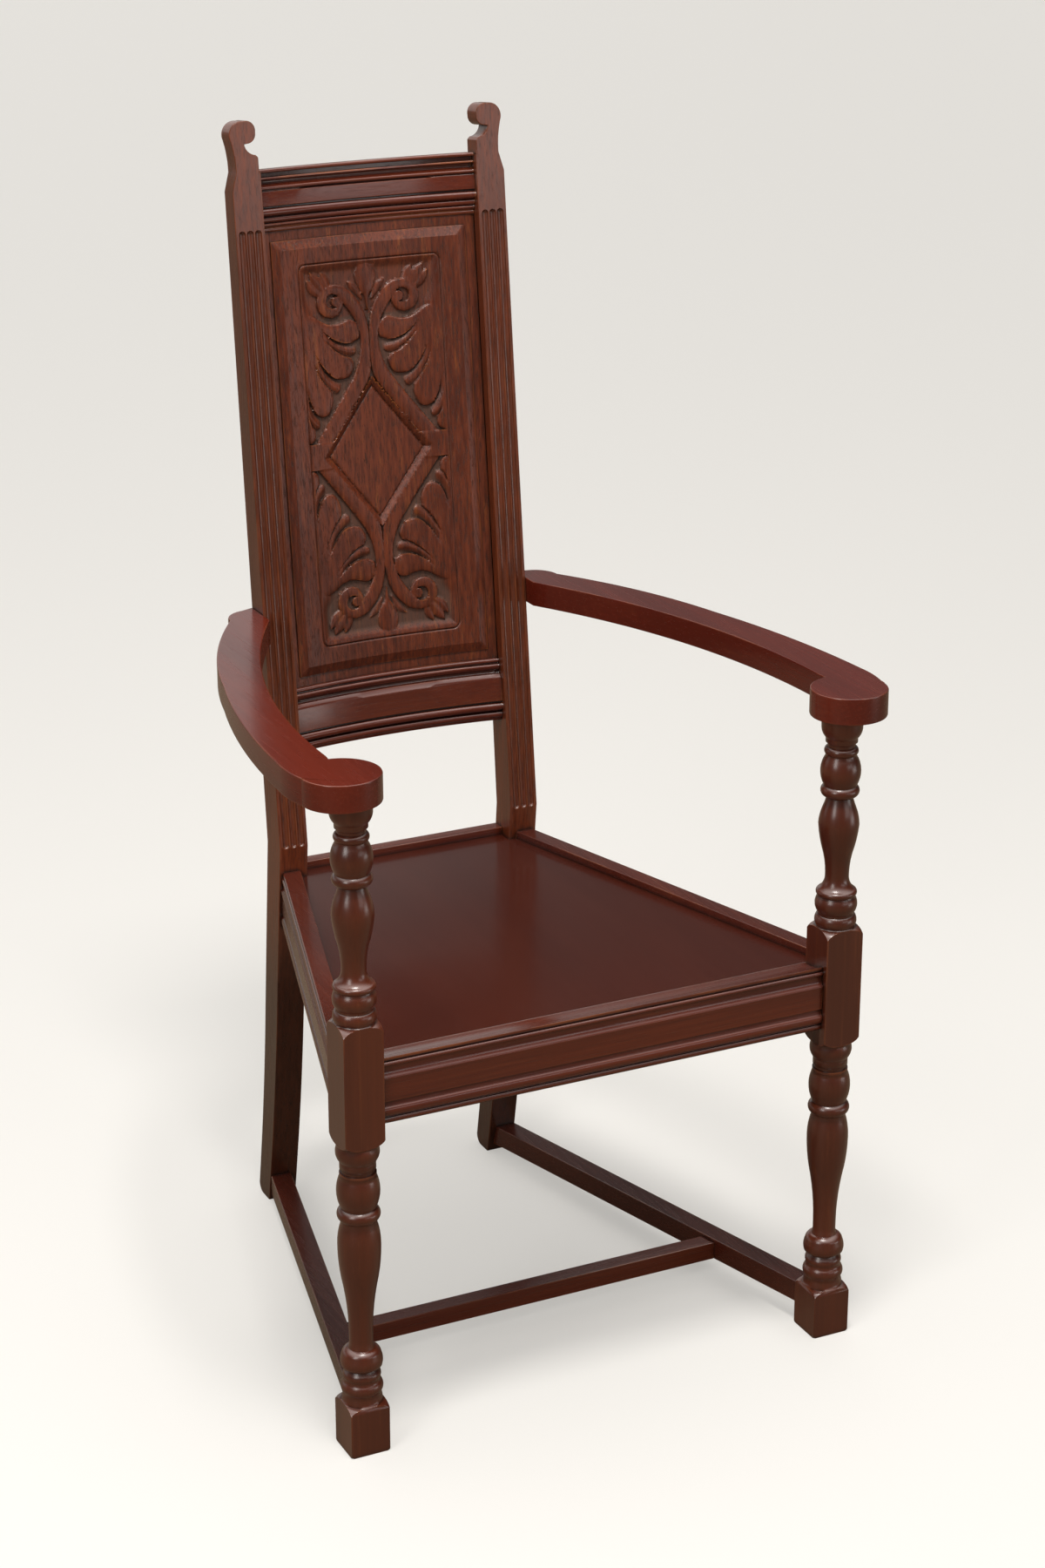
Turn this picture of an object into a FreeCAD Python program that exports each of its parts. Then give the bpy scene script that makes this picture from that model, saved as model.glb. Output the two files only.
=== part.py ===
import FreeCAD, Part
import math
import os
from types import SimpleNamespace

import Sketcher
from FreeCAD import Placement, Rotation, Vector

# Driving sizes: millimetres, and degrees for the rake.
# Heights are above the floor and depths are behind the axis of the front posts.
SIZES = {
    # front posts
    "post_spread": 268.7,
    "post_square": 42.2,
    "foot_height": 48,
    "foot_shoulder": 6.5,
    "foot_easing": 2.4,
    "seat_block_drop": 12.5,
    "seat_block_rise": 31,
    "block_shoulder": 7.5,
    "shoulder_radius": 20.8,
    "turned_radius": 22,
    "post_tenon_radius": 10,
    "post_tenon_length": 18,
    # seat frame and board
    "rim_height": 432,
    "rail_height": 71,
    "rail_setback": 4.8,
    "rail_relief": 4.6,
    "board_drop": 8.5,
    "board_thickness": 12,
    "rim_width": 21,
    "side_rail_overhang": 14.4,
    "side_rail_inset": 2.7,
    "rear_rail_setback": 22.2,
    "rear_rail_thickness": 16,
    "rail_tenon_thickness": 11,
    "rail_tenon_length": 18,
    "rail_tenon_inset": 8,
    "side_tenon_reach": 18.7,
    # stiles, which run down as the rear legs
    "stile_outer": 157,
    "stile_width": 33,
    "stile_depth_low": 37.8,
    "stile_depth_high": 23.9,
    "bend_rise": 30.8,
    "bend_depth": 464.8,
    "rake_angle": 6.63,
    "knee_height": 250,
    "knee_setback": 24,
    "ankle_height": 60,
    "ankle_setback": 29.6,
    "foot_setback": 12,
    "leg_bow": 2.1,
    "knee_thickness": 35.5,
    "ankle_thickness": 32.3,
    "heel_length": 29.4,
    "heel_radius": 11,
    "flute_radius": 4.2,
    "flute_sink": 3,
    "flute_pitch": 9,
    "flute_low": -3,
    "flute_stop": 58.7,
    # back, measured up the rake from the bend of the stiles
    "back_bow": 15,
    "crest_top": 727.7,
    "crest_rise": 2,
    "crest_height": 65.5,
    "crest_face": 4.4,
    "crest_relief": 8.6,
    "crest_back": 22,
    "lower_top": 172,
    "lower_height": 71.2,
    "lower_face": 4.4,
    "lower_relief": 8.6,
    "lower_back": 27,
    "back_tenon_thickness": 8,
    "back_tenon_length": 20,
    "back_tenon_inset": 9,
    "panel_margin": 13.5,
    "panel_edge": 6.5,
    "panel_tongue": 6,
    "groove_depth": 8,
    "panel_face": 8.3,
    "panel_step": 1.4,
    "panel_reveal": 10.8,
    "panel_bevel": 10,
    "scribe_side_inset": 21.7,
    "scribe_end_inset": 18.2,
    "scribe_width": 1.4,
    "scribe_depth": 0.8,
    "scribe_radius": 8,
    "lozenge_inset": 36.4,
    "lozenge_half_height": 84.8,
    "lozenge_drop": 0.6,
    "lozenge_sink": 3,
    "finial_height": 53.6,
    # arms
    "arm_rise": 266,
    "arm_thickness": 28,
    "arm_drop": 4,
    "arm_round_overhang": 8.3,
    "arm_round_depth": 2.5,
    "arm_round_radius": 39.5,
    "arm_front_overhang": 52.1,
    "arm_front_inset": 2.7,
    "arm_front_depth": 50,
    "arm_rear_overhang": 39,
    "arm_rear_setback": 28.2,
    "arm_inner_setback": 10.8,
    "arm_end_setback": 62.2,
    "arm_tenon_inset": 6,
    "arm_tenon_setback": 9,
    "arm_tenon_width": 16,
    "arm_tenon_length": 12,
    # stretchers
    "stretcher_overhang": 4.4,
    "stretcher_inset": 2.3,
    "stretcher_width": 24.4,
    "stretcher_height": 24,
    "stretcher_front_height": 24.5,
    "stretcher_fall": 14.5,
    "stretcher_tenon": 12,
    "stretcher_tenon_length": 16,
    "cross_depth": 147.5,
    "cross_width": 19.5,
    "cross_bottom": 21,
    "cross_height": 20,
    "cross_tenon": 10,
    # strips and screws under the board
    "cleat_size": 18,
    "cleat_setback": 20,
    "screw_radius": 1.9,
    "screw_head_radius": 4,
    "screw_head_height": 2.4,
    "screw_recess": 4,
    "screw_reach": 8,
    "screw_end_share": 0.8,
    # fits
    "fit": 0.15,
    "end_gap": 1,
    "overrun": 5,
}


class Size:
    """A size with its present value and the sheet expression that gives it."""

    def __init__(self, value, text=None):
        self.value = float(value)
        self.text = text or f"({self.value!r})"

    def __add__(self, other):
        other = sized(other)
        return Size(self.value + other.value, f"({self.text} + {other.text})")

    def __sub__(self, other):
        other = sized(other)
        return Size(self.value - other.value, f"({self.text} - {other.text})")

    def __mul__(self, other):
        other = sized(other)
        return Size(self.value * other.value, f"({self.text} * {other.text})")

    def __truediv__(self, other):
        other = sized(other)
        return Size(self.value / other.value, f"({self.text} / {other.text})")

    def __neg__(self):
        return Size(0) - self

    def __rmul__(self, other):
        return sized(other) * self

    def __radd__(self, other):
        return sized(other) + self

    def __rsub__(self, other):
        return sized(other) - self


def sized(number):
    return number if isinstance(number, Size) else Size(number)


def sine(angle):
    return Size(math.sin(math.radians(angle.value)), f"sin({angle.text} * 1 deg)")


def cosine(angle):
    return Size(math.cos(math.radians(angle.value)), f"cos({angle.text} * 1 deg)")


def root(value):
    return Size(math.sqrt(value.value), f"sqrt({value.text})")


def angle_of(rise, run):
    """The angle, in degrees, whose tangent is rise over run."""
    return Size(math.degrees(math.atan2(rise.value, run.value)), f"(atan({rise.text} / {run.text}) / 1 deg)")


doc = FreeCAD.newDocument("wainscot_chair")
sheet = doc.addObject("Spreadsheet::Sheet", "sizes")
for row, (alias, number) in enumerate(SIZES.items(), start=1):
    sheet.set(f"A{row}", alias)
    sheet.set(f"B{row}", str(number))
    sheet.setAlias(f"B{row}", alias)
doc.recompute()
d = SimpleNamespace(**{alias: Size(sheet.get(alias), f"sizes.{alias}") for alias in SIZES})

ZERO = Size(0)
post_half = d.post_square / 2
post_inner = d.post_spread - post_half
stile_inner = d.stile_outer - d.stile_width
rake_sine = sine(d.rake_angle)
rake_cosine = cosine(d.rake_angle)
finial_top = d.crest_top + d.finial_height

# heights, up from the rim of the seat
rail_bottom = d.rim_height - d.rail_height
seat_block_bottom = rail_bottom - d.seat_block_drop
seat_block_top = d.rim_height + d.seat_block_rise
board_height = d.rim_height - d.board_drop
bend_height = d.rim_height + d.bend_rise
arm_underside = d.rim_height + d.arm_rise
# depths, back from the bend of the stiles
side_tenon_depth = d.bend_depth + d.side_tenon_reach
rear_rail_front = d.bend_depth + d.rear_rail_setback
knee_depth = d.bend_depth + d.knee_setback
ankle_depth = knee_depth + d.ankle_setback
foot_depth = ankle_depth + d.foot_setback
heel_depth = foot_depth + d.heel_length
arm_rear_depth = d.bend_depth + d.arm_rear_setback
arm_inner_rear_depth = d.bend_depth + d.arm_inner_setback
arm_end_depth = d.bend_depth + d.arm_end_setback
# widths, out from the axis of a front post or from the outer face of a stile
side_rail_front = d.post_spread + d.side_rail_overhang
side_rail_rear = d.stile_outer - d.side_rail_inset
stretcher_outer_front = d.post_spread + d.stretcher_overhang
stretcher_outer_rear = d.stile_outer - d.stretcher_inset
arm_round_spread = d.post_spread + d.arm_round_overhang
arm_front_outer = d.post_spread + d.arm_front_overhang
arm_front_inner = d.post_spread + d.arm_front_inset
arm_outer_rear = d.stile_outer + d.arm_rear_overhang
# places up the raked back
crest_high = d.crest_top + d.crest_rise
crest_bottom = crest_high - d.crest_height
lower_bottom = d.lower_top - d.lower_height
flute_high = d.crest_top - d.flute_stop


def raked(behind, up):
    """Depth and height of a point this far behind the stiles' face and this far up it."""
    depth = d.bend_depth + up * rake_sine + behind * rake_cosine
    height = bend_height + up * rake_cosine - behind * rake_sine
    return depth, height


def stile_depth(up):
    """Depth of a stile, square to its face, this far up the rake."""
    return d.stile_depth_low + (d.stile_depth_high - d.stile_depth_low) * up / d.crest_top


# The rails and the panel of the back are hollow in plan: arcs about one upright line in front.
# The arc on the stiles' face runs from stile to stile and lies back_bow behind it in the middle.
bow_radius = (stile_inner * stile_inner + d.back_bow * d.back_bow) / (d.back_bow * 2)
bow_axis = d.back_bow - bow_radius


def bowed(across, behind):
    """Depth, behind the stiles' face, of an arc that starts this far behind it, this far across."""
    radius = bow_radius + behind
    return root(radius * radius - across * across) + bow_axis


# The origin is on the floor under the middle of the whole chair, from the arms' noses
# to the middle of the crest rail's back.
nose_depth = d.arm_round_depth - d.arm_round_radius
crest_depth = raked(bowed(ZERO, d.crest_back), crest_high)[0]
middle_depth = (nose_depth + crest_depth) / 2


def bind(thing, values):
    """Tie properties of an object to the sheet."""
    for name, value in values.items():
        thing.setExpression(name, value.text)


def new_body(label, across=ZERO, depth=ZERO, height=ZERO, tilt=None):
    """A body whose own origin is at this place of the chair, tilted back or down about X."""
    body = doc.addObject("PartDesign::Body", label)
    body.Label = label
    depth = depth - middle_depth
    turn = Rotation(Vector(1, 0, 0), tilt.value if tilt else 0)
    body.Placement = Placement(Vector(across.value, depth.value, height.value), turn)
    bind(body, {
        "Placement.Base.x": across,
        "Placement.Base.y": depth,
        "Placement.Base.z": height,
    })
    if tilt:
        bind(body, {"Placement.Rotation.Angle": tilt})
    return body


def new_sketch(body, role, lift=ZERO):
    """A sketch on one of the body's planes, lifted along the plane's normal."""
    sketch = body.newObject("Sketcher::SketchObject", body.Label + "_sketch")
    plane = next(item for item in body.Origin.OriginFeatures if item.Role == role)
    sketch.AttachmentSupport = [(plane, "")]
    sketch.MapMode = "FlatFace"
    sketch.AttachmentOffset = Placement(Vector(0, 0, lift.value), Rotation())
    bind(sketch, {"AttachmentOffset.Base.z": lift})
    return sketch


def via(across, up):
    """The middle point of an arc between the corners before and after it."""
    return across, up, "via"


def spot(point):
    return Vector(point[0].value, point[1].value, 0)


def draw(sketch, outline):
    """Close an outline of corners and arcs, and tie every point of it to the sheet."""
    edges = []
    joins = []
    points = []
    first = sketch.GeometryCount
    count = len(outline)
    for index, corner in enumerate(outline):
        if len(corner) == 3:
            continue
        middle = outline[(index + 1) % count]
        if len(middle) == 3:
            end = outline[(index + 2) % count]
            chord = spot(end) - spot(corner)
            leftward = (spot(middle) - spot(corner)).cross(chord).z > 0
            ends = (corner, end) if leftward else (end, corner)
            edges.append(Part.Arc(spot(ends[0]), spot(middle), spot(ends[1])))
            joins.append((1, 2) if leftward else (2, 1))
        else:
            edges.append(Part.LineSegment(spot(corner), spot(middle)))
            joins.append((1, 2))
        points.append((first + len(edges) - 1, joins[-1][0], corner))
    sketch.addGeometry(edges, False)
    rules = []
    for index, (start, end) in enumerate(joins):
        following = (index + 1) % len(joins)
        rules.append(Sketcher.Constraint(
            "Coincident", first + index, end, first + following, joins[following][0]))
    arcs = [first + index for index, edge in enumerate(edges) if isinstance(edge, Part.ArcOfCircle)]
    middles = [point for point in outline if len(point) == 3]
    for arc, middle in zip(arcs, middles):
        mark = sketch.addGeometry(Part.Point(spot(middle)), True)
        rules.append(Sketcher.Constraint("PointOnObject", mark, 1, arc))
        points.append((mark, 1, middle))
    tie_points(sketch, rules, points)


def tie_points(sketch, rules, points):
    """Add the rules, and hold each point at its two sizes from the sketch's origin."""
    held = []
    for edge, end, point in points:
        for kind, value in (("DistanceX", point[0]), ("DistanceY", point[1])):
            rules.append(Sketcher.Constraint(kind, -1, 1, edge, end, value.value))
            held.append((len(rules) - 1, value))
    first = sketch.ConstraintCount
    sketch.addConstraint(rules)
    for index, value in held:
        sketch.setExpression(f"Constraints[{first + index}]", value.text)


def rectangle(left, right, low, high):
    return [(left, low), (right, low), (right, high), (left, high)]


def mirrored(half):
    """An outline closed by the mirror image of its right half, which starts and ends off the axis."""
    other = [(-point[0],) + tuple(point[1:]) for point in reversed(half)]
    return half + other


def pad(body, sketch, length, symmetric=False, slant=None):
    feature = body.newObject("PartDesign::Pad", body.Label + "_pad")
    feature.Profile = sketch
    if symmetric:
        feature.SideType = "Symmetric"
    if slant:
        feature.UseCustomVector = True
        feature.AlongSketchNormal = True
        feature.Direction = Vector(slant[0].value, slant[1].value, slant[2].value)
        bind(feature, {"Direction.x": slant[0], "Direction.y": slant[1], "Direction.z": slant[2]})
    bind(feature, {"Length": length})
    sketch.Visibility = False
    return feature


def pocket(body, sketch, length, symmetric=False):
    feature = body.newObject("PartDesign::Pocket", body.Label + "_pocket")
    feature.Profile = sketch
    if symmetric:
        feature.SideType = "Symmetric"
    bind(feature, {"Length": length})
    sketch.Visibility = False
    return feature


def block(body, kind, across, depth, height, is_raked=False):
    """Add or subtract a box given by its three (low, high) pairs."""
    box = body.newObject(f"PartDesign::{kind}Box", body.Label + "_box")
    bind(box, {
        "Length": across[1] - across[0],
        "Width": depth[1] - depth[0],
        "Height": height[1] - height[0],
    })
    base = (depth[0], height[0])
    if is_raked:
        base = raked(depth[0], height[0])
        box.Placement = Placement(Vector(), Rotation(Vector(1, 0, 0), -d.rake_angle.value))
        bind(box, {"Placement.Rotation.Angle": -d.rake_angle})
    bind(box, {
        "Placement.Base.x": across[0],
        "Placement.Base.y": base[0],
        "Placement.Base.z": base[1],
    })
    return box


def grown(pair, amount):
    return pair[0] - amount, pair[1] + amount


def peg(body, kind, across, depth, radius, low, high):
    """Add or subtract an upright cylinder."""
    feature = body.newObject(f"PartDesign::{kind}Cylinder", body.Label + "_cylinder")
    bind(feature, {
        "Radius": radius,
        "Height": high - low,
        "Placement.Base.x": across,
        "Placement.Base.y": depth,
        "Placement.Base.z": low,
    })
    return feature


def shaped(shares, low, high, inner, outer):
    """Outline points from shares of a height and of a depth, kept in the order given."""
    points = []
    for up_share, out_share, *middle in shares:
        points.append((inner + (outer - inner) * out_share, low + (high - low) * up_share, *middle))
    return points


def mirror_of(label, source):
    """The left-hand twin of a right-hand piece."""
    twin = doc.addObject("Part::Mirroring", label)
    twin.Label = label
    twin.Source = source
    twin.Normal = Vector(1, 0, 0)
    return twin


# Turned members, as shares of a turning's height and of its largest radius.
LOWER_TURNING_SHARES = [
    (0.000, 0.945), (0.015, 0.932), (0.025, 0.900),
    # bead, hollow and ring over the foot
    (0.037, 0.886), (0.057, 0.977, "via"), (0.080, 0.855),
    (0.092, 0.841), (0.106, 0.880, "via"), (0.120, 0.800), (0.129, 0.741),
    # flared collar
    (0.134, 0.741), (0.141, 0.950), (0.161, 0.982, "via"), (0.184, 0.915),
    (0.199, 0.830, "via"), (0.209, 0.605),
    # vase
    (0.222, 0.560, "via"), (0.243, 0.550), (0.260, 0.550), (0.369, 0.620, "via"), (0.454, 0.773),
    (0.526, 0.927, "via"), (0.611, 0.991), (0.659, 0.945, "via"), (0.702, 0.809),
    # thin collar and ball
    (0.708, 0.809), (0.733, 0.991, "via"), (0.755, 0.809),
    (0.757, 0.809), (0.824, 0.991, "via"), (0.882, 0.818),
    # fillets and bead under the seat block
    (0.883, 0.845), (0.891, 0.845), (0.892, 0.759), (0.905, 0.759), (0.906, 0.827),
    (0.930, 0.827), (0.932, 0.814), (0.966, 1.000, "via"), (0.993, 0.940), (1.000, 0.945),
]
UPPER_TURNING_SHARES = [
    (0.000, 0.945), (0.004, 0.918),
    # two beads and a collar over the seat block
    (0.024, 0.986, "via"), (0.058, 0.886), (0.059, 0.859), (0.068, 0.859), (0.071, 0.877),
    (0.101, 0.991, "via"), (0.146, 0.877), (0.150, 0.870), (0.166, 0.964, "via"), (0.181, 0.827),
    # vase
    (0.195, 0.705), (0.217, 0.595, "via"), (0.245, 0.559), (0.255, 0.559), (0.318, 0.614, "via"),
    (0.382, 0.768), (0.437, 0.886, "via"), (0.492, 0.955), (0.528, 0.909, "via"), (0.572, 0.773),
    (0.601, 0.668, "via"), (0.620, 0.618),
    # thin collar and ball
    (0.628, 0.773), (0.655, 0.905, "via"), (0.676, 0.773), (0.679, 0.773), (0.737, 0.941, "via"),
    (0.819, 0.709),
    # ring, hollow and fillet
    (0.823, 0.709), (0.842, 0.795, "via"), (0.861, 0.645), (0.874, 0.645), (0.882, 0.745),
    (0.901, 0.745), (0.904, 0.764),
    # cup under the arm
    (0.924, 0.895, "via"), (0.947, 0.955), (1.000, 0.977),
]
# Seat rail moulding from the top edge down: share of the rail's height, share of the relief.
SEAT_RAIL_SHARES = [
    # front edge, quirk and small bead
    (0.986, 0.35), (0.955, 0.33), (0.946, 0.00), (0.927, 0.00), (0.924, 0.30),
    (0.890, 0.66, "via"), (0.856, 0.10),
    # cove, arris and flat
    (0.775, 0.15, "via"), (0.701, 0.85), (0.685, 0.90), (0.655, 0.74), (0.338, 0.74),
    # quirk, large bead and lowest bead
    (0.328, 0.26), (0.318, 0.26), (0.261, 0.45), (0.183, 1.00, "via"), (0.107, 0.40),
    (0.099, 0.05), (0.090, 0.10), (0.048, 0.54, "via"), (0.006, 0.12), (0.000, 0.08),
]
# Back rail mouldings: share of the rail's height, share of the relief.
CREST_SHARES = [
    (1.000, 0.55), (0.972, 0.95, "via"), (0.944, 0.60), (0.940, 0.35), (0.878, 0.35), (0.872, 0.75),
    (0.845, 0.75), (0.790, 0.10, "via"), (0.735, 0.55), (0.730, 0.70), (0.700, 0.85, "via"),
    (0.670, 0.65), (0.655, 0.55), (0.640, 0.88), (0.412, 0.88), (0.400, 0.45), (0.380, 0.45),
    (0.315, 1.00, "via"), (0.255, 0.50), (0.245, 0.45), (0.200, 0.65, "via"), (0.155, 0.40),
    (0.145, 0.30), (0.117, 0.45, "via"), (0.090, 0.20), (0.066, 0.10), (0.045, 0.20, "via"),
    (0.000, 0.00),
]
LOWER_RAIL_SHARES = [
    (1.000, 0.00), (0.995, 0.10), (0.960, 0.40, "via"), (0.925, 0.20), (0.910, 0.20),
    (0.880, 0.60, "via"), (0.850, 0.50), (0.830, 0.45), (0.790, 0.05, "via"), (0.750, 0.50),
    (0.710, 0.65), (0.670, 0.88), (0.320, 0.88), (0.308, 0.45), (0.290, 0.45),
    (0.220, 1.00, "via"), (0.165, 0.50), (0.150, 0.30), (0.095, 0.70, "via"), (0.040, 0.30),
    (0.000, 0.25),
]
# Finial: share of the stile's width in from its outer face, share of the finial's height.
FINIAL_SHARES = [
    (0.000, -0.340), (0.167, 0.030), (0.140, 0.350, "via"), (0.045, 0.645),
    (0.080, 0.880, "via"), (0.515, 1.000), (0.800, 0.960, "via"), (0.910, 0.765),
    (0.855, 0.640, "via"), (0.625, 0.565), (0.515, 0.555), (0.600, 0.430, "via"), (0.870, 0.340),
    (0.955, 0.290), (0.955, 0.000),
]

# Arm in plan, from the round end back along the outer edge: share of the outer edge's fall
# towards the stile, share of the way back; then the rear corner and the inner edge.
ARM_OUTER_SHARES = [
    (0.055, -0.125), (0.012, -0.080, "via"), (0.000, 0.000), (0.080, 0.240, "via"), (0.304, 0.538),
    (0.595, 0.789, "via"), (1.000, 1.000),
]
ARM_CORNER_SHARES = [(0.280, 0.660, "via"), (0.630, 0.830)]
ARM_INNER_SHARES = (0.228, 0.500, "via")
# Hollow on top of the front rail, from the board forwards: share of the depth, share of the rise.
FRONT_HOLLOW_SHARES = [(0.000, 0.000), (0.500, 0.300, "via"), (0.900, 0.890)]

# Slant of the side rails and stretchers in plan, across for each unit of depth.
rail_taper = (side_rail_front - side_rail_rear) / (d.bend_depth - post_half)
stretcher_run = foot_depth - post_half
stretcher_taper = (stretcher_outer_front - stretcher_outer_rear) / stretcher_run
stretcher_slope = d.stretcher_fall / stretcher_run
arm_tilt = angle_of(d.arm_drop, arm_rear_depth)
cleat_top = board_height - d.board_thickness
cleat_bottom = cleat_top - d.cleat_size


def rail_across(depth, inset=ZERO):
    """Distance from the middle of the chair to a side rail's outer arris, less an inset."""
    return side_rail_front - inset - rail_taper * (depth - post_half)


def stretcher_across(depth, inset=ZERO):
    return stretcher_outer_front - inset - stretcher_taper * (depth - post_half)


def leg_front(height):
    """Depth of the rear leg's straight front face between its bend and its knee."""
    fall = (knee_depth - d.bend_depth) / (bend_height - d.knee_height)
    return d.bend_depth + (bend_height - height) * fall


def foot_front(height):
    """Depth of the rear leg's straight front face below its ankle."""
    fall = (foot_depth - ankle_depth) / d.ankle_height
    return foot_depth - height * fall


# Joints, each as (low, high) pairs across, in depth and in height.
tenon_low = rail_bottom + d.rail_tenon_inset
tenon_high = board_height - d.rail_tenon_inset
FRONT_RAIL_TENON = (
    (post_inner - d.overrun, post_inner + d.rail_tenon_length),
    (-d.rail_tenon_thickness, ZERO),
    (tenon_low, tenon_high),
)
side_tenon_middle = rail_across(post_half, d.rim_width / 2)
SIDE_RAIL_FRONT_TENON = (
    (side_tenon_middle - d.rail_tenon_thickness / 2, side_tenon_middle + d.rail_tenon_thickness / 2),
    (post_half - d.rail_tenon_length, post_half + d.overrun),
    (tenon_low, tenon_high),
)
side_end_middle = rail_across(d.bend_depth, d.rim_width / 2)
SIDE_RAIL_REAR_TENON = (
    (side_end_middle - d.rail_tenon_thickness / 2, side_end_middle + d.rail_tenon_thickness / 2),
    (leg_front(d.rim_height) - d.overrun, side_tenon_depth),
    (tenon_low, tenon_high),
)
rear_tenon_middle = rear_rail_front + d.rear_rail_thickness / 2
REAR_RAIL_TENON = (
    (stile_inner - d.overrun, stile_inner + d.rail_tenon_length),
    (rear_tenon_middle - d.rail_tenon_thickness / 2, rear_tenon_middle + d.rail_tenon_thickness / 2),
    (tenon_low, tenon_high),
)
stretcher_front_middle = stretcher_across(post_half, d.stretcher_width / 2)
STRETCHER_FRONT_TENON = (
    (stretcher_front_middle - d.stretcher_tenon / 2, stretcher_front_middle + d.stretcher_tenon / 2),
    (post_half - d.stretcher_tenon_length, post_half + d.overrun),
    (d.stretcher_front_height + d.stretcher_tenon / 2,
     d.stretcher_front_height + d.stretcher_tenon * 3 / 2),
)
stretcher_rear_middle = stretcher_across(foot_depth, d.stretcher_width / 2)
stretcher_rear_height = d.stretcher_front_height - d.stretcher_fall
STRETCHER_REAR_TENON = (
    (stretcher_rear_middle - d.stretcher_tenon / 2, stretcher_rear_middle + d.stretcher_tenon / 2),
    (foot_front(d.stretcher_height) - d.overrun, foot_depth + d.stretcher_tenon_length),
    (stretcher_rear_height + d.stretcher_tenon / 2,
     stretcher_rear_height + d.stretcher_tenon * 3 / 2),
)
cross_middle = d.cross_depth + d.cross_width / 2
cross_shoulder = stretcher_across(cross_middle, d.stretcher_width)
CROSS_TENON = (
    (cross_shoulder - d.overrun, cross_shoulder + d.cross_tenon),
    (cross_middle - d.cross_tenon / 2, cross_middle + d.cross_tenon / 2),
    (d.cross_bottom + d.cross_tenon / 2, d.cross_bottom + d.cross_tenon * 3 / 2),
)
CREST_TENON = (
    (stile_inner - d.overrun, stile_inner + d.back_tenon_length),
    (d.panel_margin - d.fit, d.panel_margin - d.fit + d.back_tenon_thickness),
    (crest_bottom + d.back_tenon_inset, crest_high - d.back_tenon_inset),
)
LOWER_TENON = (
    (stile_inner - d.overrun, stile_inner + d.back_tenon_length),
    (d.panel_margin - d.fit, d.panel_margin - d.fit + d.back_tenon_thickness),
    (lower_bottom + d.back_tenon_inset, d.lower_top - d.back_tenon_inset),
)
ARM_TENON = (
    (d.stile_outer - d.arm_tenon_length, d.stile_outer + d.overrun),
    (arm_rear_depth + d.arm_tenon_setback,
     arm_rear_depth + d.arm_tenon_setback + d.arm_tenon_width),
    (d.arm_tenon_inset, d.arm_thickness - d.arm_tenon_inset),
)


def tenon(body, joint):
    block(body, "Additive", *joint)


def mortise(body, joint, tip, is_raked=False):
    """A blind hole that takes a joint's tenon; the tip says which end of which pair is inside."""
    hole = [grown(pair, d.fit) for pair in joint]
    low, high = joint[tip[0]]
    hole[tip[0]] = (low, high + d.end_gap) if tip[1] == "high" else (low - d.end_gap, high)
    block(body, "Subtractive", *hole, is_raked=is_raked)


def other_side(joint):
    """The same joint at the chair's left."""
    return ((-joint[0][1], -joint[0][0]), joint[1], joint[2])


def make_front_post():
    """One turned post: foot block, lower turning, seat block, upper turning and top tenon."""
    body = new_body("front_post_right", across=d.post_spread)
    foot_top = d.foot_height + d.foot_shoulder
    seat_low = seat_block_bottom - d.block_shoulder
    seat_high = seat_block_top + d.block_shoulder
    corner = post_half * math.sqrt(2)
    round_corner = (corner + d.shoulder_radius) / 2
    tip = arm_underside + d.post_tenon_length
    shoulder = arm_underside - d.fit * 2
    outline = [
        (ZERO, ZERO),
        (corner - d.foot_easing, ZERO),
        (corner, d.foot_easing),
        (corner, d.foot_height),
        via(round_corner + d.foot_easing / 2, foot_top - d.foot_shoulder / 3),
    ]
    outline += shaped(LOWER_TURNING_SHARES, foot_top, seat_low, ZERO, d.turned_radius)
    outline += [
        via(round_corner, seat_low + d.block_shoulder / 4),
        (corner, seat_block_bottom),
        (corner, seat_block_top),
        via(round_corner, seat_high - d.block_shoulder / 4),
    ]
    outline += shaped(UPPER_TURNING_SHARES, seat_high, shoulder, ZERO, d.turned_radius)
    outline += [(d.post_tenon_radius, shoulder), (d.post_tenon_radius, tip), (ZERO, tip)]
    profile = new_sketch(body, "XZ_Plane")
    draw(profile, outline)
    turned = body.newObject("PartDesign::Revolution", "post_turning")
    turned.Profile = profile
    turned.ReferenceAxis = (profile, ["V_Axis"])
    turned.Angle = 360
    profile.Visibility = False
    for low, high in ((ZERO, foot_top), (seat_low, seat_high)):
        waste = new_sketch(body, "XY_Plane", high)
        draw(waste, rectangle(-d.post_square, d.post_square, -d.post_square, d.post_square))
        draw(waste, rectangle(-post_half, post_half, -post_half, post_half))
        pocket(body, waste, high - low)
    for joint, tip_side in (
        (FRONT_RAIL_TENON, (0, "high")),
        (SIDE_RAIL_FRONT_TENON, (1, "low")),
        (STRETCHER_FRONT_TENON, (1, "low")),
    ):
        across = (joint[0][0] - d.post_spread, joint[0][1] - d.post_spread)
        mortise(body, (across, joint[1], joint[2]), tip_side)
    return body


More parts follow.
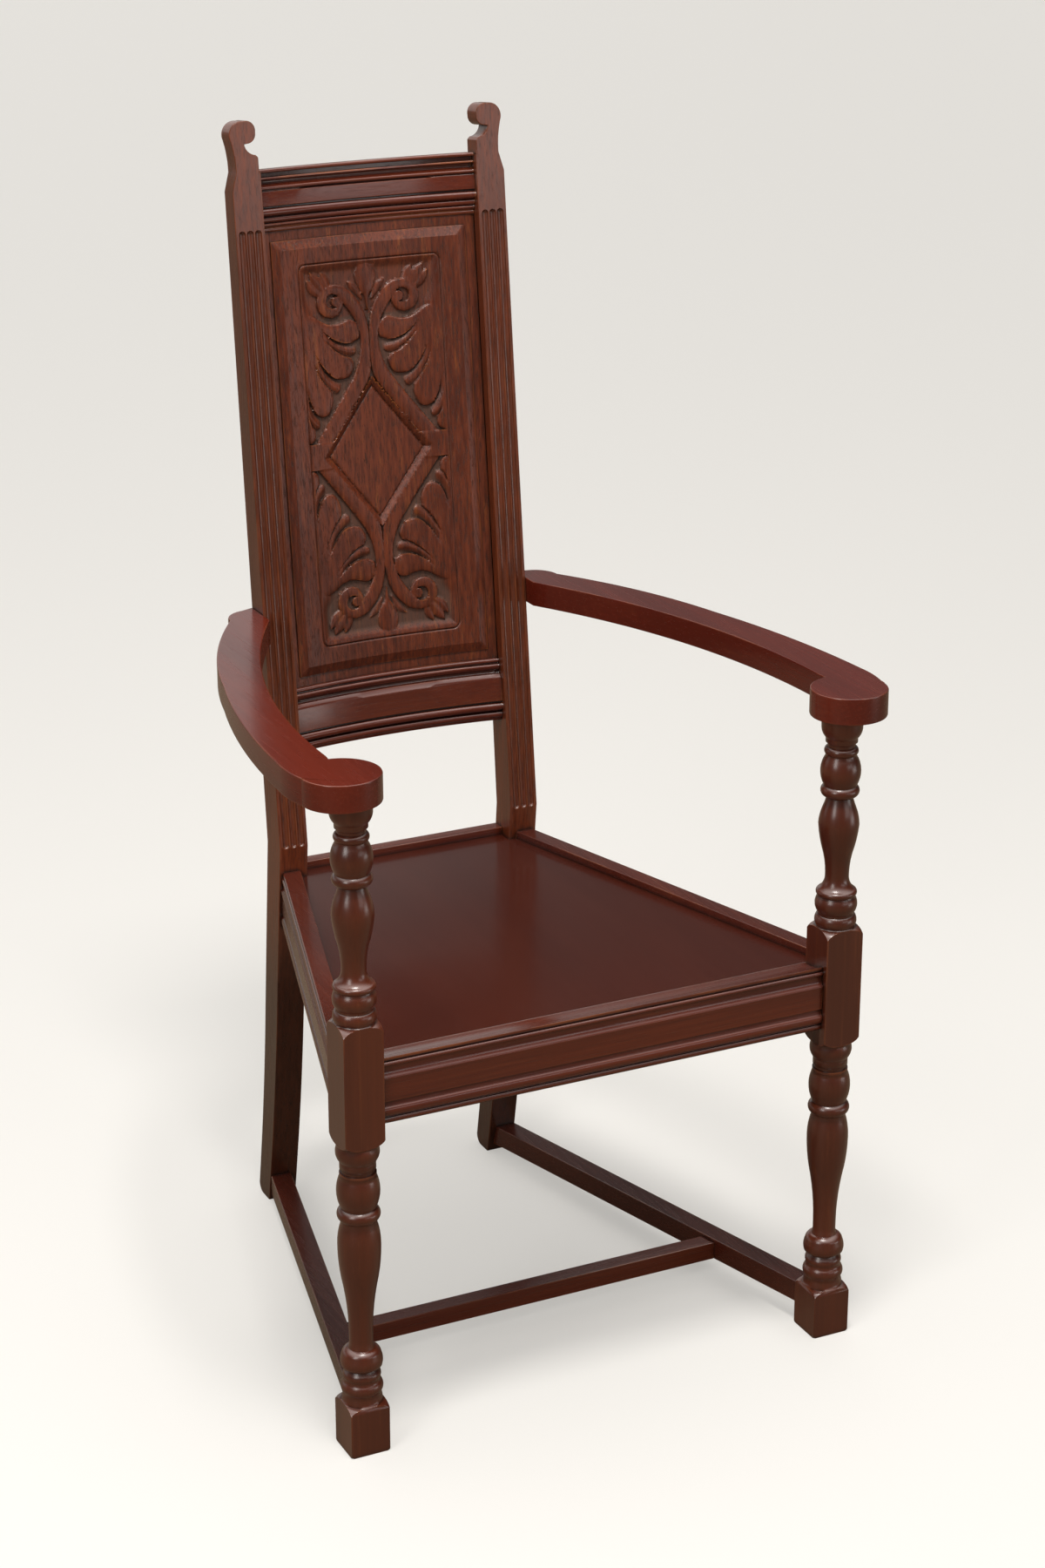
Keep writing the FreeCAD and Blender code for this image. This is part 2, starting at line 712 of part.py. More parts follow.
def make_stile():
    """One back stile: leg, raked upright with three flutes, and a scroll finial."""
    body = new_body("stile_right")
    side = new_sketch(body, "YZ_Plane", stile_inner)
    back_bend = raked(stile_depth(ZERO), ZERO)
    back_knee = knee_depth + d.knee_thickness
    back_ankle = ankle_depth + d.ankle_thickness
    heel_slack = d.heel_radius * (1 - 1 / math.sqrt(2))
    draw(side, [
        (foot_depth, ZERO),
        (ankle_depth, d.ankle_height),
        via((knee_depth + ankle_depth) / 2 - d.leg_bow, (d.knee_height + d.ankle_height) / 2),
        (knee_depth, d.knee_height),
        (d.bend_depth, bend_height),
        raked(ZERO, finial_top + d.overrun),
        raked(stile_depth(finial_top + d.overrun), finial_top + d.overrun),
        back_bend,
        (back_knee, d.knee_height),
        via((back_knee + back_ankle) / 2 - d.leg_bow, (d.knee_height + d.ankle_height) / 2),
        (back_ankle, d.ankle_height),
        (heel_depth, d.heel_radius),
        via(heel_depth - heel_slack, heel_slack),
        (heel_depth - d.heel_radius, ZERO),
    ])
    pad(body, side, d.stile_width)
    cut_finial(body)
    cut_flutes(body)
    groove = (stile_inner - d.overrun, stile_inner + d.groove_depth)
    low = d.lower_top - d.groove_depth
    high = crest_bottom + d.groove_depth
    slot = grown((d.panel_margin, d.panel_margin + d.panel_edge), d.fit)
    block(body, "Subtractive", groove, slot, (low, high), is_raked=True)
    mortise(body, CREST_TENON, (0, "high"), is_raked=True)
    mortise(body, LOWER_TENON, (0, "high"), is_raked=True)
    mortise(body, SIDE_RAIL_REAR_TENON, (1, "high"))
    mortise(body, REAR_RAIL_TENON, (0, "high"))
    mortise(body, STRETCHER_REAR_TENON, (1, "high"))
    drop = d.arm_drop * (ARM_TENON[1][0] + ARM_TENON[1][1]) / 2 / arm_rear_depth
    heights = [arm_underside + height - drop for height in ARM_TENON[2]]
    mortise(body, (ARM_TENON[0], grown(ARM_TENON[1], d.fit), grown(heights, d.fit)), (0, "low"))
    return body


def raked_sketch(body, behind=ZERO):
    """A sketch in the plane of the stiles' face, or this far behind it, with its own up on the rake."""
    sketch = new_sketch(body, "XZ_Plane")
    depth, height = raked(behind, ZERO)
    turn = Rotation(Vector(1, 0, 0), -d.rake_angle.value)
    sketch.AttachmentOffset = Placement(Vector(0, height.value, -depth.value), turn)
    bind(sketch, {
        "AttachmentOffset.Base.y": height,
        "AttachmentOffset.Base.z": -depth,
        "AttachmentOffset.Rotation.Angle": -d.rake_angle,
    })
    return sketch


def cut_finial(body):
    """Saw the scroll and its neck out of the top of the stile, square to the raked face."""
    left = stile_inner - d.overrun
    right = d.stile_outer + d.overrun
    top = finial_top + d.overrun * 2
    scroll = []
    for in_share, up_share, *middle in FINIAL_SHARES:
        across = d.stile_outer - d.stile_width * in_share
        scroll.append((across, d.crest_top + d.finial_height * up_share, *middle))
    foot = scroll[0]
    waste = raked_sketch(body, -d.overrun)
    draw(waste, scroll + [(left, d.crest_top), (left, top), (right, top), (right, foot[1])])
    pocket(body, waste, d.stile_depth_low + d.overrun * 2)


def cut_flutes(body):
    """Three round-ended flutes down the stile's face."""
    middle = d.stile_outer - d.stile_width / 2
    for number in (-1, 0, 1):
        axis = middle + d.flute_pitch * number
        cutter = raked_sketch(body, d.flute_sink - d.flute_radius)
        cutter.AttachmentOffset.Base.x = axis.value
        bind(cutter, {"AttachmentOffset.Base.x": axis})
        half_turn = d.flute_radius / math.sqrt(2)
        draw(cutter, [
            (ZERO, d.flute_low),
            via(half_turn, d.flute_low + d.flute_radius - half_turn),
            (d.flute_radius, d.flute_low + d.flute_radius),
            (d.flute_radius, flute_high - d.flute_radius),
            via(half_turn, flute_high - d.flute_radius + half_turn),
            (ZERO, flute_high),
        ])
        flute = body.newObject("PartDesign::Groove", "flute")
        flute.Profile = cutter
        flute.ReferenceAxis = (cutter, ["V_Axis"])
        flute.Angle = 360
        cutter.Visibility = False


def make_seat_rail_front():
    """Front rail: moulded face, and a hollow that runs down inwards to the board."""
    body = new_body("seat_rail_front")
    section = new_sketch(body, "YZ_Plane")
    outer = d.rail_setback - post_half
    inner = outer + d.rail_relief
    outline = shaped(SEAT_RAIL_SHARES, rail_bottom, d.rim_height, inner, outer)
    outline.append((post_half, rail_bottom))
    for in_share, up_share, *middle in FRONT_HOLLOW_SHARES:
        depth = post_half + (outer - post_half) * in_share
        outline.append((depth, board_height + (d.rim_height - board_height) * up_share, *middle))
    draw(section, outline)
    pad(body, section, post_inner * 2, symmetric=True)
    tenon(body, FRONT_RAIL_TENON)
    tenon(body, other_side(FRONT_RAIL_TENON))
    return body


def make_seat_rail_side():
    """Side rail, running in towards the back; its rear end is cut to the leg's face."""
    body = new_body("seat_rail_right")
    section = new_sketch(body, "XZ_Plane", -post_half)
    arris_share = SEAT_RAIL_SHARES[0][1]
    inner = side_rail_front - d.rail_relief * arris_share
    outer = inner + d.rail_relief
    back = side_rail_front - d.rim_width
    outline = shaped(SEAT_RAIL_SHARES, rail_bottom, d.rim_height, inner, outer)
    outline += [
        (back, rail_bottom),
        (back, d.rim_height),
        (inner, d.rim_height),
    ]
    draw(section, outline)
    slant = (-rail_taper, Size(1), ZERO)
    pad(body, section, knee_depth - post_half, slant=slant)
    end = new_sketch(body, "YZ_Plane")
    high = d.rim_height + d.overrun
    low = rail_bottom - d.overrun
    draw(end, [
        (leg_front(low), low),
        (foot_depth, low),
        (foot_depth, high),
        (leg_front(high), high),
    ])
    pocket(body, end, side_rail_front * 3, symmetric=True)
    tenon(body, SIDE_RAIL_FRONT_TENON)
    tenon(body, SIDE_RAIL_REAR_TENON)
    return body


def make_seat_rail_rear():
    body = new_body("seat_rail_rear")
    back = rear_rail_front + d.rear_rail_thickness
    block(body, "Additive", (-stile_inner, stile_inner), (rear_rail_front, back),
          (rail_bottom, d.rim_height))
    tenon(body, REAR_RAIL_TENON)
    tenon(body, other_side(REAR_RAIL_TENON))
    return body


def sweep(body, kind, outline, half):
    """Carry a section of the back round its bow, this far to each side of the middle."""
    section = new_sketch(body, "YZ_Plane")
    section.AttachmentOffset.Base.x = bow_axis.value
    bind(section, {"AttachmentOffset.Base.x": bow_axis})
    draw(section, [(point[0] + bow_radius,) + tuple(point[1:]) for point in outline])
    feature = body.newObject(f"PartDesign::{kind}", body.Label + "_sweep")
    feature.Profile = section
    feature.ReferenceAxis = (section, ["V_Axis"])
    feature.Midplane = True
    bind(feature, {"Angle": angle_of(half, -bow_axis) * 2})
    section.Visibility = False
    return feature


def trim_sides(body, across, depth, height):
    """Cut both sides off flat, outwards from this far across."""
    outside = d.stile_width
    block(body, "Subtractive", (across, across + outside), depth, height)
    block(body, "Subtractive", (-across - outside, -across), depth, height)


def make_back_rail(label, section_shares, low, high, face, relief, back, joint, groove):
    """A moulded rail of the back, with a groove along the edge that holds the panel."""
    body = new_body(label, depth=d.bend_depth, height=bend_height, tilt=-d.rake_angle)
    outline = shaped(section_shares, low, high, face + relief, face)
    outline += [(back, low), (back, high)]
    sweep(body, "Revolution", outline, stile_inner + d.overrun)
    trim_sides(body, stile_inner, (-d.overrun, back + d.back_bow), (low - d.overrun, high + d.overrun))
    tenon(body, joint)
    tenon(body, other_side(joint))
    slot = grown((d.panel_margin, d.panel_margin + d.panel_edge), d.fit)
    sweep(body, "Groove", rectangle(slot[0], slot[1], groove[0], groove[1]), stile_inner + d.overrun)
    return body


def make_back_panel():
    """Fielded panel: a tongue all round, a bevelled raised field, a scribed line and a lozenge."""
    body = new_body("back_panel", depth=d.bend_depth, height=bend_height, tilt=-d.rake_angle)
    back = d.panel_margin + d.panel_edge
    foot = d.panel_margin - d.panel_step
    side = stile_inner + d.panel_tongue
    low = d.lower_top - d.panel_tongue
    high = crest_bottom + d.panel_tongue
    step = stile_inner - d.panel_reveal
    step_low = d.lower_top + d.panel_reveal
    step_high = crest_bottom - d.panel_reveal
    edge = step - d.panel_bevel
    field_low = step_low + d.panel_bevel
    field_high = step_high - d.panel_bevel
    sweep(body, "Revolution", [
        (back, low), (d.panel_margin, low), (d.panel_margin, step_low), (foot, step_low),
        (d.panel_face, field_low), (d.panel_face, field_high),
        (foot, step_high), (d.panel_margin, step_high), (d.panel_margin, high), (back, high),
    ], side + d.overrun)

    plan = new_sketch(body, "XY_Plane")
    outside = side + d.overrun * 2
    half_margin = (step + outside) / 2
    for mirror in (1, -1):
        corners = [
            (step * mirror, bowed(step, foot)),
            (step * mirror, bowed(step, d.panel_margin)),
            via(half_margin * mirror, bowed(half_margin, d.panel_margin)),
            (outside * mirror, bowed(outside, d.panel_margin)),
            (outside * mirror, -d.overrun),
            (edge * mirror, -d.overrun),
            (edge * mirror, bowed(edge, d.panel_face)),
        ]
        draw(plan, corners)
    pocket(body, plan, high * 2, symmetric=True)
    full_height = (low - d.overrun, high + d.overrun)
    trim_sides(body, side, (-d.overrun, back + d.back_bow), full_height)
    trim_sides(body, stile_inner, (-d.overrun, d.panel_margin), full_height)
    trim_sides(body, stile_inner, (back, back + d.back_bow), full_height)

    scribe_half = edge - d.scribe_side_inset
    scribe_low = field_low + d.scribe_end_inset
    scribe_high = field_high - d.scribe_end_inset
    line = []
    for cut in (ZERO, d.scribe_width):
        line.append(rounded(scribe_half - cut, scribe_low + cut, scribe_high - cut, d.scribe_radius - cut))
    sink(body, line, d.scribe_depth, scribe_half, scribe_low, scribe_high)

    middle = (d.lower_top + crest_bottom) / 2 - d.lozenge_drop
    half_width = edge - d.lozenge_inset
    sink(body, [lozenge(half_width, d.lozenge_half_height, middle)], d.lozenge_sink,
         half_width, middle - d.lozenge_half_height, middle + d.lozenge_half_height)
    return body


def sink(body, outlines, depth, half, low, high):
    """Sink these outlines to one depth below the hollow field: cut them deep, then lay the floor."""
    back = d.panel_margin + d.panel_edge
    floor = d.panel_face + depth
    deep = (bowed(ZERO, floor) + bowed(half, back)) / 2
    mouth = new_sketch(body, "XZ_Plane")
    for outline in outlines:
        draw(mouth, outline)
    pocket(body, mouth, deep)
    sweep(body, "Revolution", rectangle(floor, back - d.fit, low, high), half)


def lozenge(half_width, half_height, middle):
    return [
        (half_width, middle),
        (ZERO, middle + half_height),
        (-half_width, middle),
        (ZERO, middle - half_height),
    ]


def rounded(side, low, high, radius):
    """A rectangle about the middle line with rounded corners."""
    slack = radius * (1 - 1 / math.sqrt(2))
    half = [
        (side - radius, low),
        via(side - slack, low + slack),
        (side, low + radius),
        (side, high - radius),
        via(side - slack, high - slack),
        (side - radius, high),
    ]
    return mirrored(half)


def make_seat_board():
    """The seat board, cut round the stiles at the back."""
    body = new_body("seat_board")
    plan = new_sketch(body, "XY_Plane", cleat_top)
    notch = leg_front(board_height) - d.fit
    side = stile_inner - d.fit
    draw(plan, mirrored([
        (rail_across(post_half, d.rim_width), post_half),
        (rail_across(notch, d.rim_width), notch),
        (side, notch),
        (side, rear_rail_front),
    ]))
    pad(body, plan, d.board_thickness)
    for across, depth in screw_places():
        peg(body, "Subtractive", across, depth, d.screw_radius, cleat_bottom, cleat_top + d.screw_reach)
    return body


def make_arm():
    """A flat sawn arm: bowed band, round end over the post, and a stub tenon at the stile."""
    body = new_body("arm_right", height=arm_underside, tilt=-arm_tilt)
    plan = new_sketch(body, "XY_Plane")
    reach = arm_rear_depth - d.arm_front_depth
    fall = arm_front_outer - arm_outer_rear
    outline = [
        (arm_front_inner, d.arm_front_depth),
        (arm_round_spread, d.arm_round_depth),
    ]
    for fall_share, reach_share, *middle in ARM_OUTER_SHARES:
        outline.append((arm_front_outer - fall * fall_share,
                        d.arm_front_depth + reach * reach_share, *middle))
    for in_share, back_share, *middle in ARM_CORNER_SHARES:
        outline.append((arm_outer_rear + (d.stile_outer - arm_outer_rear) * in_share,
                        arm_rear_depth + (arm_end_depth - arm_rear_depth) * back_share, *middle))
    fall_share, reach_share, middle = ARM_INNER_SHARES
    outline += [
        (d.stile_outer, arm_end_depth),
        (d.stile_outer, arm_inner_rear_depth),
        (arm_front_inner - (arm_front_inner - d.stile_outer) * fall_share,
         d.arm_front_depth + (arm_inner_rear_depth - d.arm_front_depth) * reach_share, middle),
    ]
    draw(plan, outline)
    pad(body, plan, d.arm_thickness)
    peg(body, "Additive", arm_round_spread, d.arm_round_depth, d.arm_round_radius,
        ZERO, d.arm_thickness)
    block(body, "Additive", *ARM_TENON)
    hole = d.post_tenon_radius + d.fit * 2
    peg(body, "Subtractive", d.post_spread, ZERO, hole, -d.overrun, d.post_tenon_length + d.end_gap)
    return body


def make_side_stretcher():
    """Side stretcher, falling a little towards the back; its end is cut to the leg's face."""
    body = new_body("side_stretcher_right")
    section = new_sketch(body, "XZ_Plane", -post_half)
    inner = stretcher_outer_front - d.stretcher_width
    top = d.stretcher_front_height + d.stretcher_height
    draw(section, rectangle(inner, stretcher_outer_front, d.stretcher_front_height, top))
    slant = (-stretcher_taper, Size(1), -stretcher_slope)
    pad(body, section, stretcher_run + d.stretcher_tenon_length, slant=slant)
    end = new_sketch(body, "YZ_Plane")
    far = foot_depth + d.foot_height
    draw(end, [
        (foot_front(-d.foot_height), -d.foot_height),
        (far, -d.foot_height),
        (far, d.ankle_height),
        (foot_front(d.ankle_height), d.ankle_height),
    ])
    pocket(body, end, stretcher_outer_front * 3, symmetric=True)
    tenon(body, STRETCHER_FRONT_TENON)
    tenon(body, STRETCHER_REAR_TENON)
    mortise(body, CROSS_TENON, (0, "high"))
    return body


def make_cross_stretcher():
    body = new_body("cross_stretcher")
    plan = new_sketch(body, "XY_Plane", d.cross_bottom)
    rear = d.cross_depth + d.cross_width
    draw(plan, mirrored([
        (stretcher_across(d.cross_depth, d.stretcher_width), d.cross_depth),
        (stretcher_across(rear, d.stretcher_width), rear),
    ]))
    pad(body, plan, d.cross_height)
    tenon(body, CROSS_TENON)
    tenon(body, other_side(CROSS_TENON))
    return body


front_cleat_middle = post_half + d.cleat_size / 2
rear_cleat_middle = rear_rail_front - d.cleat_size / 2
side_cleat_front = post_half + d.cleat_size + d.cleat_setback
side_cleat_rear = d.bend_depth - d.cleat_setback
front_cleat_half = post_inner - d.cleat_setback
rear_cleat_half = stile_inner - d.end_gap


def side_screw_places():
    places = []
    for end_share in (1 - d.screw_end_share, d.screw_end_share):
        depth = side_cleat_front + (side_cleat_rear - side_cleat_front) * end_share
        places.append((rail_across(depth, d.rim_width + d.cleat_size / 2), depth))
    return places


def screw_places():
    """Where the screws stand: two in each strip."""
    places = []
    for side in (-1, 1):
        places.append((front_cleat_half * d.screw_end_share * side, front_cleat_middle))
        places.append((rear_cleat_half * d.screw_end_share * side, rear_cleat_middle))
        places += [(across * side, depth) for across, depth in side_screw_places()]
    return places


def drill_cleat(body, places):
    """Clearance hole and head recess for each screw of a strip."""
    for across, depth in places:
        peg(body, "Subtractive", across, depth, d.screw_radius + d.fit,
            cleat_bottom - d.overrun, cleat_top + d.overrun)
        peg(body, "Subtractive", across, depth, d.screw_head_radius + d.fit,
            cleat_bottom - d.overrun, cleat_bottom + d.screw_recess)


def make_straight_cleat(label, half, middle):
    """A strip glued along the front or rear rail, under the board."""
    body = new_body(label)
    block(body, "Additive", (-half, half), grown((middle, middle), d.cleat_size / 2),
          (cleat_bottom, cleat_top))
    reach = half * d.screw_end_share
    drill_cleat(body, [(-reach, middle), (reach, middle)])
    return body


def make_side_cleat():
    body = new_body("seat_cleat_right")
    plan = new_sketch(body, "XY_Plane", cleat_bottom)
    inner = d.rim_width + d.cleat_size
    draw(plan, [
        (rail_across(side_cleat_front, inner), side_cleat_front),
        (rail_across(side_cleat_front, d.rim_width), side_cleat_front),
        (rail_across(side_cleat_rear, d.rim_width), side_cleat_rear),
        (rail_across(side_cleat_rear, inner), side_cleat_rear),
    ])
    pad(body, plan, d.cleat_size)
    drill_cleat(body, side_screw_places())
    return body


def make_screws():
    """Screws through the strips into the board, one solid each, in one group."""
    screws = []
    seat = cleat_bottom + d.screw_recess
    for number, (across, depth) in enumerate(screw_places(), start=1):
        parts = []
        for name, radius, low, high in (
            ("head", d.screw_head_radius, seat - d.screw_head_height, seat),
            ("shank", d.screw_radius, seat, cleat_top + d.screw_reach - d.fit),
        ):
            piece = doc.addObject("Part::Cylinder", f"screw_{name}_{number}")
            bind(piece, {
                "Radius": radius,
                "Height": high - low,
                "Placement.Base.x": across,
                "Placement.Base.y": depth - middle_depth,
                "Placement.Base.z": low,
            })
            parts.append(piece)
        screw = doc.addObject("Part::Fuse", f"screw_{number}")
        screw.Base, screw.Tool = parts
        screws.append(screw)
    group = doc.addObject("Part::Compound", "cleat_screws")
    group.Label = "cleat_screws"
    group.Links = screws
    return group


front_post = make_front_post()
stile = make_stile()
arm = make_arm()
side_rail = make_seat_rail_side()
side_stretcher = make_side_stretcher()
side_cleat = make_side_cleat()
pieces = [
    front_post,
    mirror_of("front_post_left", front_post),
    stile,
    mirror_of("stile_left", stile),
    arm,
    mirror_of("arm_left", arm),
    side_rail,
    mirror_of("seat_rail_left", side_rail),
    make_seat_rail_front(),
    make_seat_rail_rear(),
    make_seat_board(),
    make_back_rail("crest_rail", CREST_SHARES, crest_bottom, crest_high,
                   d.crest_face, d.crest_relief, d.crest_back, CREST_TENON,
                   (crest_bottom - d.overrun, crest_bottom + d.groove_depth)),
    make_back_rail("lower_back_rail", LOWER_RAIL_SHARES, lower_bottom, d.lower_top,
                   d.lower_face, d.lower_relief, d.lower_back, LOWER_TENON,
                   (d.lower_top - d.groove_depth, d.lower_top + d.overrun)),
    make_back_panel(),
    side_stretcher,
    mirror_of("side_stretcher_left", side_stretcher),
    make_cross_stretcher(),
    make_straight_cleat("seat_cleat_front", front_cleat_half, front_cleat_middle),
    make_straight_cleat("seat_cleat_rear", rear_cleat_half, rear_cleat_middle),
    side_cleat,
    mirror_of("seat_cleat_left", side_cleat),
    make_screws(),
]
doc.recompute()

failed = [item.Label for item in doc.Objects if "Invalid" in item.State or "Error" in item.State]
if failed:
    raise RuntimeError("could not be made: " + ", ".join(failed))
os.makedirs("parts", exist_ok=True)
for piece in pieces:
    shape = piece.Shape
    if shape.isNull() or not shape.isValid():
        raise RuntimeError(f"{piece.Label} has no valid shape")
    shape.exportStep(f"parts/{piece.Label}.step")
    box = shape.BoundBox
    print(f"{piece.Label}: {len(shape.Solids)} solids, {shape.Volume:.0f} mm3, "
          f"x {box.XMin:.1f} {box.XMax:.1f} y {box.YMin:.1f} {box.YMax:.1f} z {box.ZMin:.1f} {box.ZMax:.1f}")
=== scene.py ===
import math

import bmesh
import bpy
import numpy as np
from mathutils import Matrix, Vector


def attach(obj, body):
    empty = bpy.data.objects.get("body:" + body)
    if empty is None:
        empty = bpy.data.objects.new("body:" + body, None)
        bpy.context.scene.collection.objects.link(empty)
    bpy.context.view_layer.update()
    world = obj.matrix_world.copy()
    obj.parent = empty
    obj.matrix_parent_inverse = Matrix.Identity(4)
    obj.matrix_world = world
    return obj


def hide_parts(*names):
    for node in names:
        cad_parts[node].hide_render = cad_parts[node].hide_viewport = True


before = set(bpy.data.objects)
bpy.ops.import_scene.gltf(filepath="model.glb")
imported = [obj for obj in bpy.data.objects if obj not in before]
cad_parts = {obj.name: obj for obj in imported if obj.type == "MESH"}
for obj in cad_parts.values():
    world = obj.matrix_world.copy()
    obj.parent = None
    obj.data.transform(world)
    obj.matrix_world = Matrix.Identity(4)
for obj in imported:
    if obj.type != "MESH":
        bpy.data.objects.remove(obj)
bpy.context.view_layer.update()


# Front posts: one stick of oak each, from the foot to the pin that holds the arm, turned between square
# blocks, stained and polished. The long arrises of the blocks are eased, and the turnings are left crisp.
class Tone:
    """A number that a socket gives, so that sums of patterns read as sums."""

    def __init__(self, recipe, socket):
        self.recipe = recipe
        self.socket = socket

    def sum(self, operation, other):
        return self.recipe.node("ShaderNodeMath", {"operation": operation}, {0: self, 1: other})

    def __add__(self, other):
        return self.sum("ADD", other)

    def __mul__(self, other):
        return self.sum("MULTIPLY", other)

    def __rsub__(self, other):
        return self * -1.0 + other

    __radd__ = __add__
    __rmul__ = __mul__

    def between(self, low, high, out_low=0.0, out_high=1.0):
        """This number taken from one range to another, smoothly and without going past its ends."""
        return self.recipe.node(
            "ShaderNodeMapRange", {"interpolation_type": "SMOOTHSTEP"},
            {"Value": self, "From Min": low, "From Max": high, "To Min": out_low, "To Max": out_high})


class Recipe:
    """Nodes put together one by one, for a finish or for the light in the room."""

    # the Mix node has a set of sockets for each kind of value, and these are the ones for colours
    SHARE, FIRST, SECOND, MIXED = 0, 6, 7, 2

    def __init__(self, tree):
        self.tree = tree

    def node(self, kind, settings=None, sockets=None, out=0):
        """A new node with its settings made first, then its sockets filled; gives one output."""
        made = self.tree.nodes.new(kind)
        for name, value in (settings or {}).items():
            setattr(made, name, value)
        for name, value in (sockets or {}).items():
            self.fill(made.inputs[name], value)
        return Tone(self, made.outputs[out])

    def fill(self, socket, value):
        if isinstance(value, Tone):
            self.tree.links.new(value.socket, socket)
        else:
            socket.default_value = value

    def blend(self, share, first, second):
        """Two colours mixed by a share of the second."""
        first, second = (
            (*colour, 1.0) if isinstance(colour, tuple) else colour for colour in (first, second))
        return self.node(
            "ShaderNodeMix", {"data_type": "RGBA"},
            {self.SHARE: share, self.FIRST: first, self.SECOND: second}, out=self.MIXED)


class Finish(Recipe):
    """One material: constants on its shader, and nodes for what changes over the surface."""

    def __init__(self, name, **constants):
        self.material = bpy.data.materials.new(name)
        self.material.use_nodes = True
        super().__init__(self.material.node_tree)
        self.tree.nodes.clear()
        self.place = self.node("ShaderNodeTexCoord", out="Object")
        self.shader = self.tree.nodes.new("ShaderNodeBsdfPrincipled")
        output = self.tree.nodes.new("ShaderNodeOutputMaterial")
        self.tree.links.new(self.shader.outputs[0], output.inputs["Surface"])
        self.shade(**constants)

    def shade(self, **sockets):
        for socket, value in sockets.items():
            self.fill(self.shader.inputs[socket.replace("_", " ")], value)

    def grained(self, along, across, lengthwise, detail=3.0, roughness=0.5):
        """Noise drawn out along the grain: how fine it is across, and along as a share of that."""
        scale = [across] * 3
        scale["xyz".index(along)] = across * lengthwise
        place = self.node("ShaderNodeMapping", None, {"Vector": self.place, "Scale": tuple(scale)})
        return self.node("ShaderNodeTexNoise", None, {
            "Vector": place, "Scale": 1.0, "Detail": detail, "Roughness": roughness})

    def closeness(self, reach, **settings):
        """Nearly nought where surfaces crowd within this reach in metres, and one in the open."""
        return self.node(
            "ShaderNodeAmbientOcclusion", {"samples": 8, **settings}, {"Distance": reach}, out="AO")


def stained_oak(name, along, light, middle, dark, worn, roughness, coat, pore=0.5, wear=0.6,
                flecks=0.25, grain=1.0, low_shade=0.0, gleam=0.14, dust=False):
    """Oak with its grain along one axis, under a dark red-brown stain and a rubbed polish.

    From 0 to 1: pore, wear, flecks and grain say how much shows of the open pores, the rubbed arrises,
    the paler flecks and the fine figure; the argument after grain says how much shade is painted on near
    the floor. gleam is the polish's roughness.
    """
    wood = Finish(name, IOR=1.4, Coat_Roughness=gleam, Coat_IOR=1.45)
    drift = wood.grained(along, across=14.0, lengthwise=0.12, detail=2.0)
    streak = wood.grained(along, across=280.0, lengthwise=0.025, roughness=0.6)
    pores = wood.grained(along, across=760.0, lengthwise=0.022, roughness=0.65).between(0.53, 0.67)
    fleck = wood.grained(along, across=120.0, lengthwise=0.04, detail=4.0, roughness=0.7).between(0.55, 0.75)
    patchy = wood.grained(along, across=45.0, lengthwise=0.3).between(0.38, 0.62)

    fine_share = 0.65 * grain
    figure = (fine_share * streak + (1.0 - fine_share) * drift).between(0.36, 0.68)
    colour = wood.blend(figure, middle, light)
    colour = wood.blend(fleck * flecks, colour, worn)
    colour = wood.blend(pores * pore, colour, dark)
    rough = streak.between(0.3, 0.7, roughness - 0.03 * grain, roughness + 0.05 * grain)
    rough = rough + pores * (0.2 * pore)

    if dust:
        dust_colour, dust_cover, dust_roughness = (0.058, 0.038, 0.027), 0.6, 0.2
        cut = wood.node("ShaderNodeAttribute", {"attribute_name": "cut"}, out="Fac")
        colour = wood.blend(cut * dust_cover, colour, dust_colour)
        rough = rough + cut * dust_roughness

    # Painted shade: lower down, the colour turns towards the dark, as if in the shade under the seat near
    # the floor.
    shade_below, unshaded_above = 0.26, 0.42
    height = wood.node("ShaderNodeSeparateXYZ", None, {0: wood.place}, out="Z")
    colour = wood.blend(height.between(shade_below, unshaded_above, low_shade, 0.0), colour, dark)
    # Painted shade: the colour darkens towards the dark where other surfaces crowd close, in creases,
    # grooves and under rings.
    crease_shade_reach, crease_shade_strength = 0.007, 0.88
    crease_shade = wood.closeness(crease_shade_reach).between(0.38, 0.94, crease_shade_strength, 0.0)
    colour = wood.blend(crease_shade, colour, dark)
    arris_reach = 0.002
    arris = wood.closeness(arris_reach, inside=True, only_local=True).between(0.6, 0.95, 1.0, 0.0)
    colour = wood.blend(arris * patchy * wear, colour, worn)

    pore_depth = 0.0005
    bump = wood.node("ShaderNodeBump", None, {
        "Strength": pore * 0.6, "Distance": pore_depth, "Height": 1.0 - pores + streak * 0.3})
    wood.shade(Base_Color=colour, Roughness=rough, Coat_Weight=coat, Normal=bump)
    return wood.material


